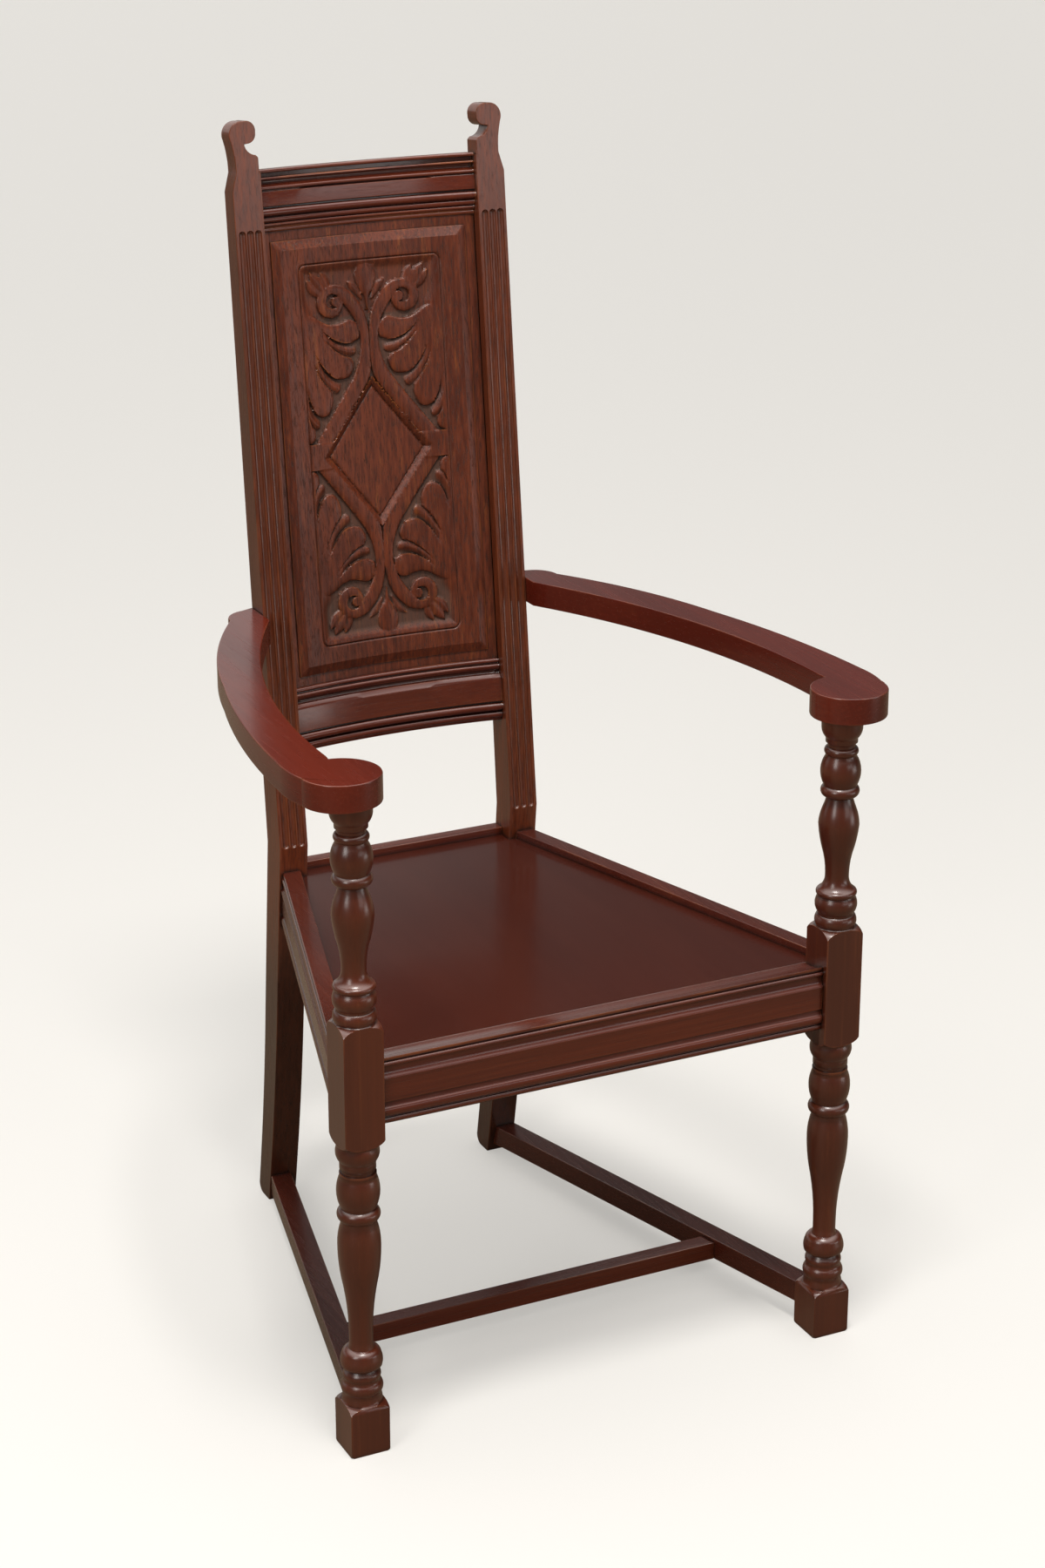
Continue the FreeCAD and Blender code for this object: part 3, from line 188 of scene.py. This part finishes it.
def ease_piece(name, material, ease, shortest=0.0, crease=32, flat_faced=True):
    """A copy of a piece with the arrises between its broad faces rubbed round by this ease, in millimetres.

    Only arrises longer than shortest, in metres, are eased. Where faces turn by more than crease, in
    degrees, the shading breaks.
    """
    weld, flat, arris_turn = 2e-6, math.radians(0.05), math.radians(34)
    # a face is broad where it is over two and a half times as wide as the ease
    broad = 0.0025 * ease
    shape = bmesh.new()
    shape.from_mesh(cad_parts[name].data)
    bmesh.ops.remove_doubles(shape, verts=shape.verts, dist=weld)
    bmesh.ops.dissolve_limit(shape, angle_limit=flat, verts=shape.verts, edges=shape.edges)
    arrises = [
        edge for edge in shape.edges
        if edge.is_convex and edge.calc_face_angle() > arris_turn and edge.calc_length() > shortest
        and min(face.calc_area() for face in edge.link_faces) > broad * edge.calc_length()]
    bmesh.ops.bevel(
        shape, geom=arrises, offset=ease / 1000, offset_type="OFFSET", affect="EDGES", segments=2,
        profile=0.5, clamp_overlap=False, material=-1, loop_slide=True)
    mesh = bpy.data.meshes.new(name + "_eased")
    shape.to_mesh(mesh)
    shape.free()
    mesh.shade_smooth()
    mesh.set_sharp_from_angle(angle=math.radians(crease))
    mesh.materials.append(material)
    piece = bpy.data.objects.new(name + "_eased", mesh)
    bpy.context.scene.collection.objects.link(piece)
    if flat_faced:
        flats = piece.modifiers.new("flats", "WEIGHTED_NORMAL")
        flats.keep_sharp = True
    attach(piece, "root")
    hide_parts(name)


turned_oak = stained_oak(
    "turned_oak", "z", light=(0.092, 0.018, 0.006), middle=(0.058, 0.011, 0.004),
    dark=(0.012, 0.004, 0.002), worn=(0.22, 0.060, 0.018),
    roughness=0.3, coat=0.6, pore=0.06, flecks=0.2, grain=0.3, gleam=0.24)
for side in ("left", "right"):
    ease_piece(f"front_post_{side}", turned_oak,
               ease=1.1, shortest=0.006, crease=28, flat_faced=False)

# Back stiles: sawn from one board each, fluted on the face with a scratch stock, with a scroll on top.
# They run down as the rear legs, which are painted darker as shade near the floor.
stile_oak = stained_oak(
    "stile_oak", "z", light=(0.145, 0.029, 0.008), middle=(0.078, 0.016, 0.005),
    dark=(0.014, 0.006, 0.004), worn=(0.20, 0.062, 0.024),
    roughness=0.3, coat=0.5, pore=0.45, wear=0.5, low_shade=0.7)
for side in ("left", "right"):
    ease_piece(f"stile_{side}", stile_oak, ease=0.9)

# Rails across the back and across the seat's frame: moulded along their length, tenoned into the stiles
# and posts. The cross stretcher between the side stretchers is from the same stuff.
rail_polish = dict(
    dark=(0.012, 0.004, 0.003), worn=(0.24, 0.070, 0.022),
    roughness=0.24, coat=0.5, pore=0.2, flecks=0.12, grain=0.6)
rail_oak = stained_oak(
    "rail_oak", "x", light=(0.110, 0.018, 0.006), middle=(0.070, 0.011, 0.005), **rail_polish)
for name in ("crest_rail", "lower_back_rail", "seat_rail_front", "seat_rail_rear", "cross_stretcher"):
    ease_piece(name, rail_oak, ease=0.7)

# Side rails and side stretchers: from the same oak as the other rails, with their grain running back.
# Low down they are painted darker as shade, the stretchers most.
side_oak = stained_oak(
    "side_oak", "y", light=(0.095, 0.015, 0.006), middle=(0.060, 0.010, 0.005), low_shade=0.4, **rail_polish)
for side in ("left", "right"):
    ease_piece(f"seat_rail_{side}", side_oak, ease=0.7)
    ease_piece(f"side_stretcher_{side}", side_oak, ease=0.9)

# Seat board: one wide dark board, let in behind the rim of the rails.
# It is smooth and glossy from use, so that hardly any grain shows.
seat_oak = stained_oak(
    "seat_oak", "y", light=(0.054, 0.010, 0.005), middle=(0.046, 0.008, 0.004),
    dark=(0.020, 0.005, 0.003), worn=(0.12, 0.035, 0.012),
    roughness=0.2, coat=0.3, pore=0.04, flecks=0.04, grain=0.2)
ease_piece("seat_board", seat_oak, ease=0.8)


# Back panel: quarter-sawn oak, hollow in plan, fielded and bevelled, its thin edge in the frame's grooves.
# Inside a scribed border it is carved in low relief with a lozenge, scrolled stems, leaves and buds.
class Carving:
    """The carver's drawing of one quarter, mirrored both ways, in millimetres across the panel and up it."""

    # the two halves mirror at this height, and the whole drawing leans a little over its height
    MIDDLE = 419.8
    LEAN, LEAN_FOOT, LEAN_START = 0.00625, 220.0, 0.5
    # scribed border: its corners' radius, and the depth and half width of its line
    SCRIBE_HALF, SCRIBE_LOW, SCRIBE_HIGH = 82.2, 211.5, 626.0
    SCRIBE_CORNER, SCRIBE_DEPTH, SCRIBE_LINE = 8.0, 1.5, 1.3
    # ground: it rises to the border over this width, and over up to twice that beside the scrolls' pockets
    GROUND = 3.8
    GROUND_RISE, POCKET, POCKET_REACH = 12.0, 572.0, 9.0
    # beside the leaves the ground ends close to the border
    LEAVES_HIGH, LEAVES_RISE = 566.0, 4.0
    # sunk lozenge: rim below the face, bevel down to its plate, and the quirk cut round the plate
    LOZENGE_MIDDLE, LOZENGE_HALF_WIDTH, LOZENGE_HALF_HEIGHT = 417.5, 63.5, 82.5
    LOZENGE_RIM, LOZENGE_BEVEL, LOZENGE_DEPTH = 0.3, 6.2, 4.2
    QUIRK_DEPTH, QUIRK_HALF = 1.3, 1.7
    # stem: across, up, half width; along the lozenge, up the middle, out and round into the scroll
    STEM = [
        (74.0, 417.5, 8.4), (55.4, 441.8, 8.5), (36.4, 466.6, 8.6), (21.4, 487.0, 8.7),
        (12.9, 499.2, 8.8), (9.4, 507.5, 8.4), (7.2, 517.0, 7.0), (5.8, 527.0, 5.9), (5.2, 538.0, 5.2),
        (5.6, 548.0, 5.5), (7.4, 558.0, 6.2), (10.9, 568.0, 7.0), (16.0, 577.5, 7.5), (22.7, 586.0, 7.5),
        (30.3, 592.6, 7.2), (39.0, 595.4, 6.6), (46.8, 592.9, 6.8), (52.0, 586.0, 7.4),
        (50.8, 577.8, 7.2), (44.6, 573.2, 6.6), (38.2, 574.6, 6.4), (34.6, 580.0, 6.2),
    ]
    # eye of the scroll: a ball left standing in a wider hollow, each across, up, radius
    EYE = (41.0, 584.3, 7.9)
    BALL = (37.0, 583.6, 5.9)
    BALL_TOP = 0.6
    # edge of the leaves, from the scroll's pocket down the scalloped ends of the lobes
    LEAF_EDGE = [
        (90.0, 578.0), (68.0, 571.0), (60.0, 567.0), (53.0, 562.4), (44.0, 559.6), (34.0, 560.2),
        (25.0, 563.0), (17.5, 561.8), (12.8, 556.0), (11.4, 549.0), (12.6, 542.0), (20.5, 537.8),
        (16.6, 532.6), (17.6, 526.6), (22.5, 522.2), (20.2, 516.0), (22.0, 508.6), (27.0, 502.0),
        (36.0, 499.4), (37.0, 494.4), (39.0, 488.8), (42.6, 485.6), (48.0, 486.2), (47.8, 478.6),
        (50.4, 469.8), (55.6, 463.0), (64.6, 461.0), (65.4, 456.2), (67.2, 450.8), (72.0, 448.4),
        (72.0, 442.4), (74.6, 437.2), (79.0, 434.6), (90.0, 434.0),
    ]
    # the leaves dip this much at their edge, over about this width
    LEAF_DIP, LEAF_DIP_WIDTH = 1.3, 3.0
    # gouge cuts between the lobes: inner end first, then the depth and the widths of its two sides
    CUTS = [
        ([(19.0, 537.4), (31.0, 538.0), (45.0, 544.6), (60.0, 558.0)], 4.0, 1.2, 11.0),
        ([(21.0, 522.2), (32.0, 525.5), (46.0, 535.5), (60.0, 551.5)], 2.6, 9.0, 1.2),
        ([(34.5, 499.2), (46.0, 502.2), (58.0, 515.0), (68.5, 534.0)], 4.0, 1.2, 12.0),
        ([(46.5, 486.0), (56.5, 497.0), (65.0, 511.0), (70.5, 528.0)], 2.6, 9.5, 1.2),
        ([(63.0, 461.0), (71.0, 467.0), (76.5, 480.0), (78.8, 495.0)], 3.8, 1.2, 10.0),
        ([(70.5, 448.2), (76.5, 455.0), (80.0, 468.0)], 2.2, 6.0, 1.2),
    ]
    # bud, sepal and the three leaves of the corner: across, up, half width, and how far each top is sunk
    PETALS = [
        [(0.0, 572.0, 0.6), (0.0, 587.0, 2.9), (0.0, 596.0, 7.6), (0.0, 606.5, 12.0), (0.0, 613.0, 10.8),
         (0.0, 619.0, 6.6), (0.0, 624.0, 0.6)],
        [(6.0, 584.0, 1.6), (12.0, 594.5, 4.4), (17.0, 599.5, 3.6), (21.6, 603.6, 0.6)],
        [(52.0, 598.0, 5.0), (57.5, 605.5, 6.0), (62.0, 611.0, 4.4), (65.5, 616.0, 0.8)],
        [(46.0, 601.0, 4.0), (48.5, 606.5, 4.8), (51.0, 611.5, 3.4), (53.0, 615.5, 0.8)],
        [(57.0, 594.0, 4.4), (62.5, 598.5, 5.4), (67.0, 604.0, 4.0), (70.4, 609.0, 0.8)],
    ]
    PETAL_TOPS = (0.5, 1.9, 0.6, 1.1, 1.0)

    def __init__(self):
        self.stem = self.through(self.STEM)
        self.leaf_edge = self.through(self.LEAF_EDGE, 4)
        self.cuts = [(self.through(points), *cut) for points, *cut in self.CUTS]
        self.petals = [self.through(points) for points in self.PETALS]

    @staticmethod
    def through(points, steps=7):
        """A smooth path through the drawn points, with whatever else each point carries."""
        points = np.array(points, float)
        ends = np.vstack([2 * points[0] - points[1], points, 2 * points[-1] - points[-2]])
        share = np.linspace(0.0, 1.0, steps, endpoint=False)[:, None]
        path = []
        for before, start, end, after in zip(ends, ends[1:], ends[2:], ends[3:]):
            path.append(0.5 * (2 * start + (end - before) * share
                               + (2 * before - 5 * start + 4 * end - after) * share ** 2
                               + (3 * start - before - 3 * end + after) * share ** 3))
        return np.vstack(path + [points[-1:]])

    @staticmethod
    def reach(spots, path):
        """How far each spot is from every run of a path, on which side, and where along the run."""
        start, run = path[:-1, :2], np.diff(path[:, :2], axis=0)
        offset = spots[:, None, :] - start[None]
        share = np.clip((offset * run).sum(2) / (run ** 2).sum(1), 0.0, 1.0)
        away = offset - share[..., None] * run
        side = np.sign(run[:, 0] * offset[..., 1] - run[:, 1] * offset[..., 0])
        return np.hypot(away[..., 0], away[..., 1]), side, share

    @staticmethod
    def ease(value, low, high):
        """From nought to one between two values, smoothly; most cut edges take about a millimetre for it."""
        share = np.clip((value - low) / (high - low), 0.0, 1.0)
        return share * share * (3 - 2 * share)

    def raised(self, spots, path, ground, top, edge_drop, power):
        """Surface of a member left standing along a path, with its top so far below the face."""
        away, _, share = self.reach(spots, path)
        half = path[:-1, 2] + share * np.diff(path[:, 2])
        nearest = np.argmin(away - half, axis=1)
        rows = np.arange(len(spots))
        away, half = away[rows, nearest], half[rows, nearest]
        crown = -top - edge_drop * np.clip(away / half, 0.0, 1.0) ** power
        cover = 1.0 - self.ease(away - half, -0.4, 0.5)
        return np.where(cover > 0, ground + (crown - ground) * cover, ground)

    def gouged(self, spots, path, depth, upper, lower):
        """Depth of a cut that narrows and runs out, long on one side and steep on the other."""
        narrowing, fade_from, fade_to, hollowness = 0.75, 0.5, 1.03, 1.3
        away, side, share = self.reach(spots, path)
        nearest = np.argmin(away, axis=1)
        rows = np.arange(len(spots))
        away, side = away[rows, nearest], side[rows, nearest]
        along = (nearest + share[rows, nearest]) / (len(path) - 1)
        wide = np.where(side > 0, upper, lower) * (1.0 - narrowing * along)
        fade = 1.0 - self.ease(along, fade_from, fade_to)
        return depth * fade * np.clip(1.0 - away / wide, 0.0, 1.0) ** hollowness

    def ground(self, up, inset):
        """Surface of the cut ground, which rises towards the border."""
        rise = self.GROUND_RISE + self.GROUND_RISE * np.exp(-((up - self.POCKET) / self.POCKET_REACH) ** 2)
        beside_scrolls = self.ease(inset / rise, 0.04, 1.0)
        beside_leaves = self.ease(inset, 0.0, self.LEAVES_RISE)
        return -self.GROUND * np.where(up > self.LEAVES_HIGH, beside_scrolls, beside_leaves)

    def leaves(self, folded, ground):
        """Surface of the leaves with their gouge cuts, and of the ground round them."""
        away, side, _ = self.reach(folded, self.leaf_edge)
        nearest = np.argmin(away, axis=1)
        rows = np.arange(len(folded))
        from_edge = away[rows, nearest] * side[rows, nearest]
        cut = sum(self.gouged(folded, *cut) for cut in self.cuts)
        dip = self.LEAF_DIP * np.exp(-np.clip(from_edge, 0, None) / self.LEAF_DIP_WIDTH)
        leaves = -np.minimum(cut, self.GROUND) - dip
        surface = leaves + (ground - leaves) * (1.0 - self.ease(from_edge, -0.5, 0.5))
        lowest = self.LEAF_EDGE[-1][1]
        return np.where(folded[:, 1] < lowest, 0.0, surface)

    def scroll_eye(self, folded, surface, ground):
        """The surface with the scroll's eye hollowed and its ball left standing."""
        def inside(circle):
            return circle[2] - np.hypot(folded[:, 0] - circle[0], folded[:, 1] - circle[1])
        hollow = self.ease(inside(self.EYE), -0.3, 0.7)
        ball = self.ease(inside(self.BALL), -0.5, 1.0)
        surface = np.where(ball > 0, np.maximum(surface, ground - (ground + self.BALL_TOP) * ball), surface)
        return surface + (ground - surface) * hollow * (1.0 - ball)

    def height(self, spots):
        """Height of each spot over the panel's face, nought or less, without the scribed border."""
        lean = (spots[:, 1] - self.LEAN_FOOT) * self.LEAN + self.LEAN_START
        across = np.abs(spots[:, 0] + lean)
        up = self.MIDDLE + np.abs(spots[:, 1] - self.MIDDLE)
        folded = np.column_stack([across, up])
        inset = np.minimum(self.SCRIBE_HALF - across, self.SCRIBE_HIGH - up)
        ground = self.ground(up, inset)
        surface = self.leaves(folded, ground)
        for petal, top in zip(self.petals, self.PETAL_TOPS):
            surface = np.maximum(surface, self.raised(folded, petal, ground, top, edge_drop=1.5, power=1.6))
        beneath = np.minimum(surface, ground)
        stem = self.raised(folded, self.stem, beneath, top=0.3, edge_drop=1.0, power=3.0)
        surface = np.maximum(surface, stem)
        surface = self.scroll_eye(folded, surface, ground)
        half_width, half_height = self.LOZENGE_HALF_WIDTH, self.LOZENGE_HALF_HEIGHT
        from_lozenge = (across * half_height + np.abs(spots[:, 1] - self.LOZENGE_MIDDLE) * half_width
                        - half_width * half_height) / math.hypot(half_width, half_height)
        sunk = -self.LOZENGE_RIM - self.LOZENGE_DEPTH * np.clip(-from_lozenge / self.LOZENGE_BEVEL, 0.0, 1.0)
        from_quirk = np.abs(from_lozenge + self.LOZENGE_BEVEL)
        quirk = self.QUIRK_DEPTH * np.clip(1.0 - from_quirk / self.QUIRK_HALF, 0.0, 1.0)
        surface = np.where(from_lozenge < 0, sunk - quirk, surface)
        return np.where(inset < 0, 0.0, surface)

    def scribed(self, spots):
        """Depth of the thin line round the carving, with its rounded corners."""
        half_height = (self.SCRIBE_HIGH - self.SCRIBE_LOW) / 2
        middle = (self.SCRIBE_LOW + self.SCRIBE_HIGH) / 2
        corner = np.abs(spots - (0.0, middle)) - (
            self.SCRIBE_HALF - self.SCRIBE_CORNER, half_height - self.SCRIBE_CORNER)
        outside = np.hypot(*np.clip(corner, 0.0, None).T)
        from_line = np.abs(outside + np.minimum(corner.max(axis=1), 0.0) - self.SCRIBE_CORNER)
        return self.SCRIBE_DEPTH * np.clip(1.0 - from_line / self.SCRIBE_LINE, 0.0, 1.0)

    def surface(self, spots):
        return self.height(spots) - self.scribed(spots)

    def dust(self, spots):
        """How dusty each spot is: deep cuts are, less near the top, and the lozenge not at all."""
        dusty_from, dusty_over, wiped_above, wiped_share = 1.8, 1.6, 568.0, 0.25
        across, up = np.abs(spots[:, 0]), np.abs(spots[:, 1] - self.LOZENGE_MIDDLE)
        in_lozenge = across / self.LOZENGE_HALF_WIDTH + up / self.LOZENGE_HALF_HEIGHT < 1.0
        dusty = np.clip((-self.height(spots) - dusty_from) / dusty_over, 0.0, 1.0)
        dusty = dusty * np.where(spots[:, 1] > wiped_above, wiped_share, 1.0)
        return np.where(in_lozenge, 0.0, dusty)


def carve_panel(name):
    """The panel laid flat, carved, given its bevel, edge and back, bowed, then stood in its frame."""
    field_half, field_low, field_high = 103.2, 192.8, 643.4
    bevel_width = 10.0
    panel_half, panel_low, panel_high = 130.0, 166.0, 670.2
    # how far each lies behind the front of the frame
    face_depth, bevel_depth, margin_depth, back_depth = 8.3, 12.1, 13.5, 20.0
    bow, bow_half = 15.0, 124.0
    columns, rows = 80, 174
    carving = Carving()
    shape = bmesh.new()
    bmesh.ops.create_grid(shape, x_segments=columns, y_segments=rows, size=1.0)
    for vert in shape.verts:
        vert.co = (vert.co.x * field_half, field_low + (vert.co.y + 1.0) / 2 * (field_high - field_low), 0.0)
    for tolerance in (0.05, 0.07):
        edges = list(shape.edges)
        ends = np.array([[edge.verts[0].co[:2], edge.verts[1].co[:2]] for edge in edges])
        at_ends = carving.surface(ends.reshape(-1, 2)).reshape(-1, 2)
        halfway = carving.surface(ends.mean(axis=1))
        missed = np.abs(halfway - at_ends.mean(axis=1))
        coarse = [edge for edge, depth in zip(edges, missed) if depth > tolerance]
        bmesh.ops.subdivide_edges(shape, edges=coarse, cuts=1, use_grid_fill=True)
    bmesh.ops.triangulate(shape, faces=shape.faces)
    spots = np.array([vert.co[:2] for vert in shape.verts])
    cut = shape.verts.layers.float.new("cut")
    for vert, height, dust in zip(shape.verts, carving.surface(spots), carving.dust(spots)):
        vert.co.z = height
        vert[cut] = dust

    bevel_foot = (field_half + bevel_width, field_low - bevel_width, field_high + bevel_width)
    outside = (panel_half, panel_low, panel_high)
    steps = (
        (bevel_foot, bevel_depth), (bevel_foot, margin_depth),
        (outside, margin_depth), (outside, back_depth))
    rim = [edge for edge in shape.edges if edge.is_boundary]
    crisp = set(rim)
    for (half, low, high), depth in steps:
        pulled = bmesh.ops.extrude_edge_only(shape, edges=rim)["geom"]
        rim = [item for item in pulled if isinstance(item, bmesh.types.BMEdge)]
        crisp.update(rim)
        verts = {item for item in pulled if isinstance(item, bmesh.types.BMVert)}
        old_half = max(abs(vert.co.x) for vert in verts)
        old_low = min(vert.co.y for vert in verts)
        old_high = max(vert.co.y for vert in verts)
        for vert in verts:
            vert.co.x *= half / old_half
            vert.co.y = low + (vert.co.y - old_low) / (old_high - old_low) * (high - low)
            vert.co.z = face_depth - depth

    # the back is closed in upright strips, so that it can be bowed
    slight = 0.001
    across = sorted(verts, key=lambda vert: vert.co.x)
    upwards = sorted(verts, key=lambda vert: vert.co.y)
    low_row = [vert for vert in across if vert.co.y < panel_low + slight]
    high_row = [vert for vert in across if vert.co.y > panel_high - slight]
    left_end = [vert for vert in upwards if vert.co.x < slight - panel_half]
    right_end = [vert for vert in upwards if vert.co.x > panel_half - slight]
    strips = len(low_row) - 1
    for strip in range(strips):
        near = left_end if strip == 0 else [low_row[strip], high_row[strip]]
        far = right_end if strip == strips - 1 else [low_row[strip + 1], high_row[strip + 1]]
        shape.faces.new(near + far[::-1])
    bmesh.ops.triangulate(shape, faces=[face for face in shape.faces if len(face.verts) > 4])

    radius = (bow_half ** 2 + bow ** 2) / (2 * bow)
    for vert in shape.verts:
        behind = face_depth - vert.co.z
        if abs(vert.co.x) < bow_half:
            vert.co.z = face_depth - math.sqrt((radius + behind) ** 2 - vert.co.x ** 2) - bow + radius
    bmesh.ops.recalc_face_normals(shape, faces=shape.faces)
    for face in shape.faces:
        face.smooth = True
    sharpest = math.radians(50)
    for edge in shape.edges:
        edge.smooth = edge not in crisp and edge.calc_face_angle() < sharpest
    stand_depth, stand_height, rake = 0.1904, 0.4628, math.radians(6.63)
    stand = (Matrix.Translation((0.0, stand_depth, stand_height)) @ Matrix.Rotation(-rake, 4, "X")
             @ Matrix.Translation((0.0, face_depth / 1000, 0.0)) @ Matrix.Rotation(math.radians(90), 4, "X")
             @ Matrix.Scale(0.001, 4))
    bmesh.ops.transform(shape, matrix=stand, verts=shape.verts)
    mesh = bpy.data.meshes.new(name)
    shape.to_mesh(mesh)
    shape.free()
    panel = bpy.data.objects.new(name, mesh)
    bpy.context.scene.collection.objects.link(panel)
    return panel


panel_oak = stained_oak(
    "panel_oak", "z", light=(0.132, 0.026, 0.008), middle=(0.060, 0.011, 0.004),
    dark=(0.014, 0.006, 0.003), worn=(0.28, 0.080, 0.018),
    roughness=0.38, coat=0.05, pore=0.65, flecks=0.4, dust=True)
panel = carve_panel("carved_panel")
panel.data.materials.append(panel_oak)
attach(panel, "root")
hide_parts("back_panel")

# Arms: sawn to a bow from thick boards, tenoned into the stiles and dropped over the posts' pins.
# They are the brightest red of the chair, and hands have rubbed their arrises round.
arm_oak = stained_oak(
    "arm_oak", "y", light=(0.110, 0.011, 0.004), middle=(0.072, 0.007, 0.003),
    dark=(0.03, 0.006, 0.003), worn=(0.30, 0.085, 0.030),
    roughness=0.24, coat=0.4, pore=0.15, flecks=0.06, grain=0.5)
for side in ("left", "right"):
    ease_piece(f"arm_{side}", arm_oak, ease=1.4)

# Strips under the board: plain, unstained softwood inside the seat's frame, which carries the board.
# Steel screws go up through them, and keep the shape that the solids give them.
strip_wood = stained_oak(
    "strip_wood", "y", light=(0.34, 0.21, 0.11), middle=(0.27, 0.16, 0.08),
    dark=(0.14, 0.08, 0.04), worn=(0.4, 0.27, 0.15), roughness=0.6, coat=0.0)
for side in ("front", "rear", "left", "right"):
    ease_piece(f"seat_cleat_{side}", strip_wood, ease=0.6)
steel = Finish("screw_steel", Metallic=1.0, Roughness=0.35, Base_Color=(0.42, 0.40, 0.38, 1.0))
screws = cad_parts["cleat_screws"]
screws.data.materials.clear()
screws.data.materials.append(steel.material)

# Floor: plain, pale and wide. Seen straight on it is pale paint with a little light of its own, and
# to the chair it is as brown as boards, so that the undersides stay warm and dark.
floor = bpy.data.objects.new("floor", bpy.data.meshes.new("floor"))
bpy.context.scene.collection.objects.link(floor)
shape = bmesh.new()
bmesh.ops.create_grid(shape, x_segments=1, y_segments=1, size=30.0)
shape.to_mesh(floor.data)
shape.free()
pale = Finish("floor_paint", Roughness=0.6, IOR=1.3, Emission_Strength=1.0)
seen = pale.node("ShaderNodeLightPath", out="Is Camera Ray")
pale.shade(
    Base_Color=pale.blend(seen, (0.20, 0.15, 0.10), (0.47, 0.46, 0.445)),
    Emission_Color=pale.blend(seen, (0.0, 0.0, 0.0), (0.39, 0.38, 0.36)),
)
floor.data.materials.append(pale.material)

# Room: a bright ceiling and three dimmer walls, each a range of directions, where 0 up is level and 1 is
# overhead. Polish shows the ceiling brighter and the walls in front and on the left dimmer than they shine.
world = bpy.data.worlds.new("room")
world.use_nodes = True
bpy.context.scene.world = world
room = Recipe(world.node_tree)
facing = room.node("ShaderNodeTexCoord", out="Generated")
right, back, up = (room.node("ShaderNodeSeparateXYZ", None, {0: facing}, out=axis) for axis in "XYZ")
glossy = room.node("ShaderNodeLightPath", out="Is Glossy Ray")
seen = room.node("ShaderNodeLightPath", out="Is Camera Ray")
over_floor = up.between(-0.03, 0.06)
ceiling = up.between(0.45, 0.95, 0.0, 0.9)
front_wall = back.between(-0.2, -0.5, 0.0, 0.34) * over_floor * up.between(0.35, 0.5, 1.0, 0.3)
left_wall = right.between(-0.3, -0.7, 0.0, 0.30) * over_floor
far_wall = back.between(0.3, 0.6) * up.between(0.33, 0.40, 1.0, 0.0) * over_floor
far_wall = far_wall * right.between(0.32, 0.46, 0.75, 0.12)
brighter_in_polish, dimmer_in_polish = 3.5, 0.75
ceiling = ceiling * (1.0 + glossy * brighter_in_polish)
near_walls = (front_wall + left_wall) * (1.0 - glossy * dimmer_in_polish)
corners, backdrop = 0.04, 0.7
glow = (ceiling + far_wall + near_walls + corners) * (1.0 - seen) + seen * backdrop
background = world.node_tree.nodes["Background"]
room.fill(background.inputs["Strength"], glow)
room.fill(background.inputs["Color"], (1.0, 0.98, 0.95, 1.0))


# Lamps: a tall window on the left, two smaller glows on the right, and a light under the ceiling.
# All are soft panels that look at the chair.
def hang_lamp(name, place, target, width, height, energy, colour):
    light = bpy.data.lights.new(name, "AREA")
    light.shape = "RECTANGLE"
    light.size = width
    light.size_y = height
    light.energy = energy
    light.color = colour
    item = bpy.data.objects.new(name, light)
    item.location = place
    item.rotation_euler = (Vector(target) - Vector(place)).to_track_quat("-Z", "Y").to_euler()
    bpy.context.scene.collection.objects.link(item)


hang_lamp("window_left", place=(-2.6, -1.6, 2.0), target=(0.0, 0.0, 0.6),
          width=1.0, height=1.6, energy=34.0, colour=(1.0, 0.98, 0.95))
hang_lamp("window_right", place=(3.1, -2.5, 0.5), target=(0.0, 0.2, 0.6),
          width=1.5, height=0.9, energy=13.0, colour=(1.0, 0.97, 0.95))
hang_lamp("front_wall_right", place=(1.7, -3.5, 1.45), target=(0.0, 0.2, 1.1),
          width=2.0, height=0.6, energy=9.0, colour=(1.0, 0.97, 0.95))
hang_lamp("ceiling_light", place=(-0.3, -0.9, 3.4), target=(0.0, 0.1, 0.7),
          width=0.6, height=0.6, energy=68.0, colour=(1.0, 0.97, 0.93))

# Camera: where the photograph was taken from, as the chair's straight edges tell. It stands some 3.2 m
# away before the sitter's right side, 1.8 m up, and looks down on the seat.
camera = bpy.data.objects.new("camera", bpy.data.cameras.new("camera"))
camera.data.sensor_fit = "VERTICAL"
camera.data.sensor_height = 36.0
camera.data.lens = 74.67
camera.location = (-1.3764, -2.8971, 1.7811)
camera.rotation_euler = (math.radians(69.413), 0.0, math.radians(-26.139))
bpy.context.scene.collection.objects.link(camera)
bpy.context.scene.camera = camera
bpy.context.scene.view_settings.view_transform = "Standard"
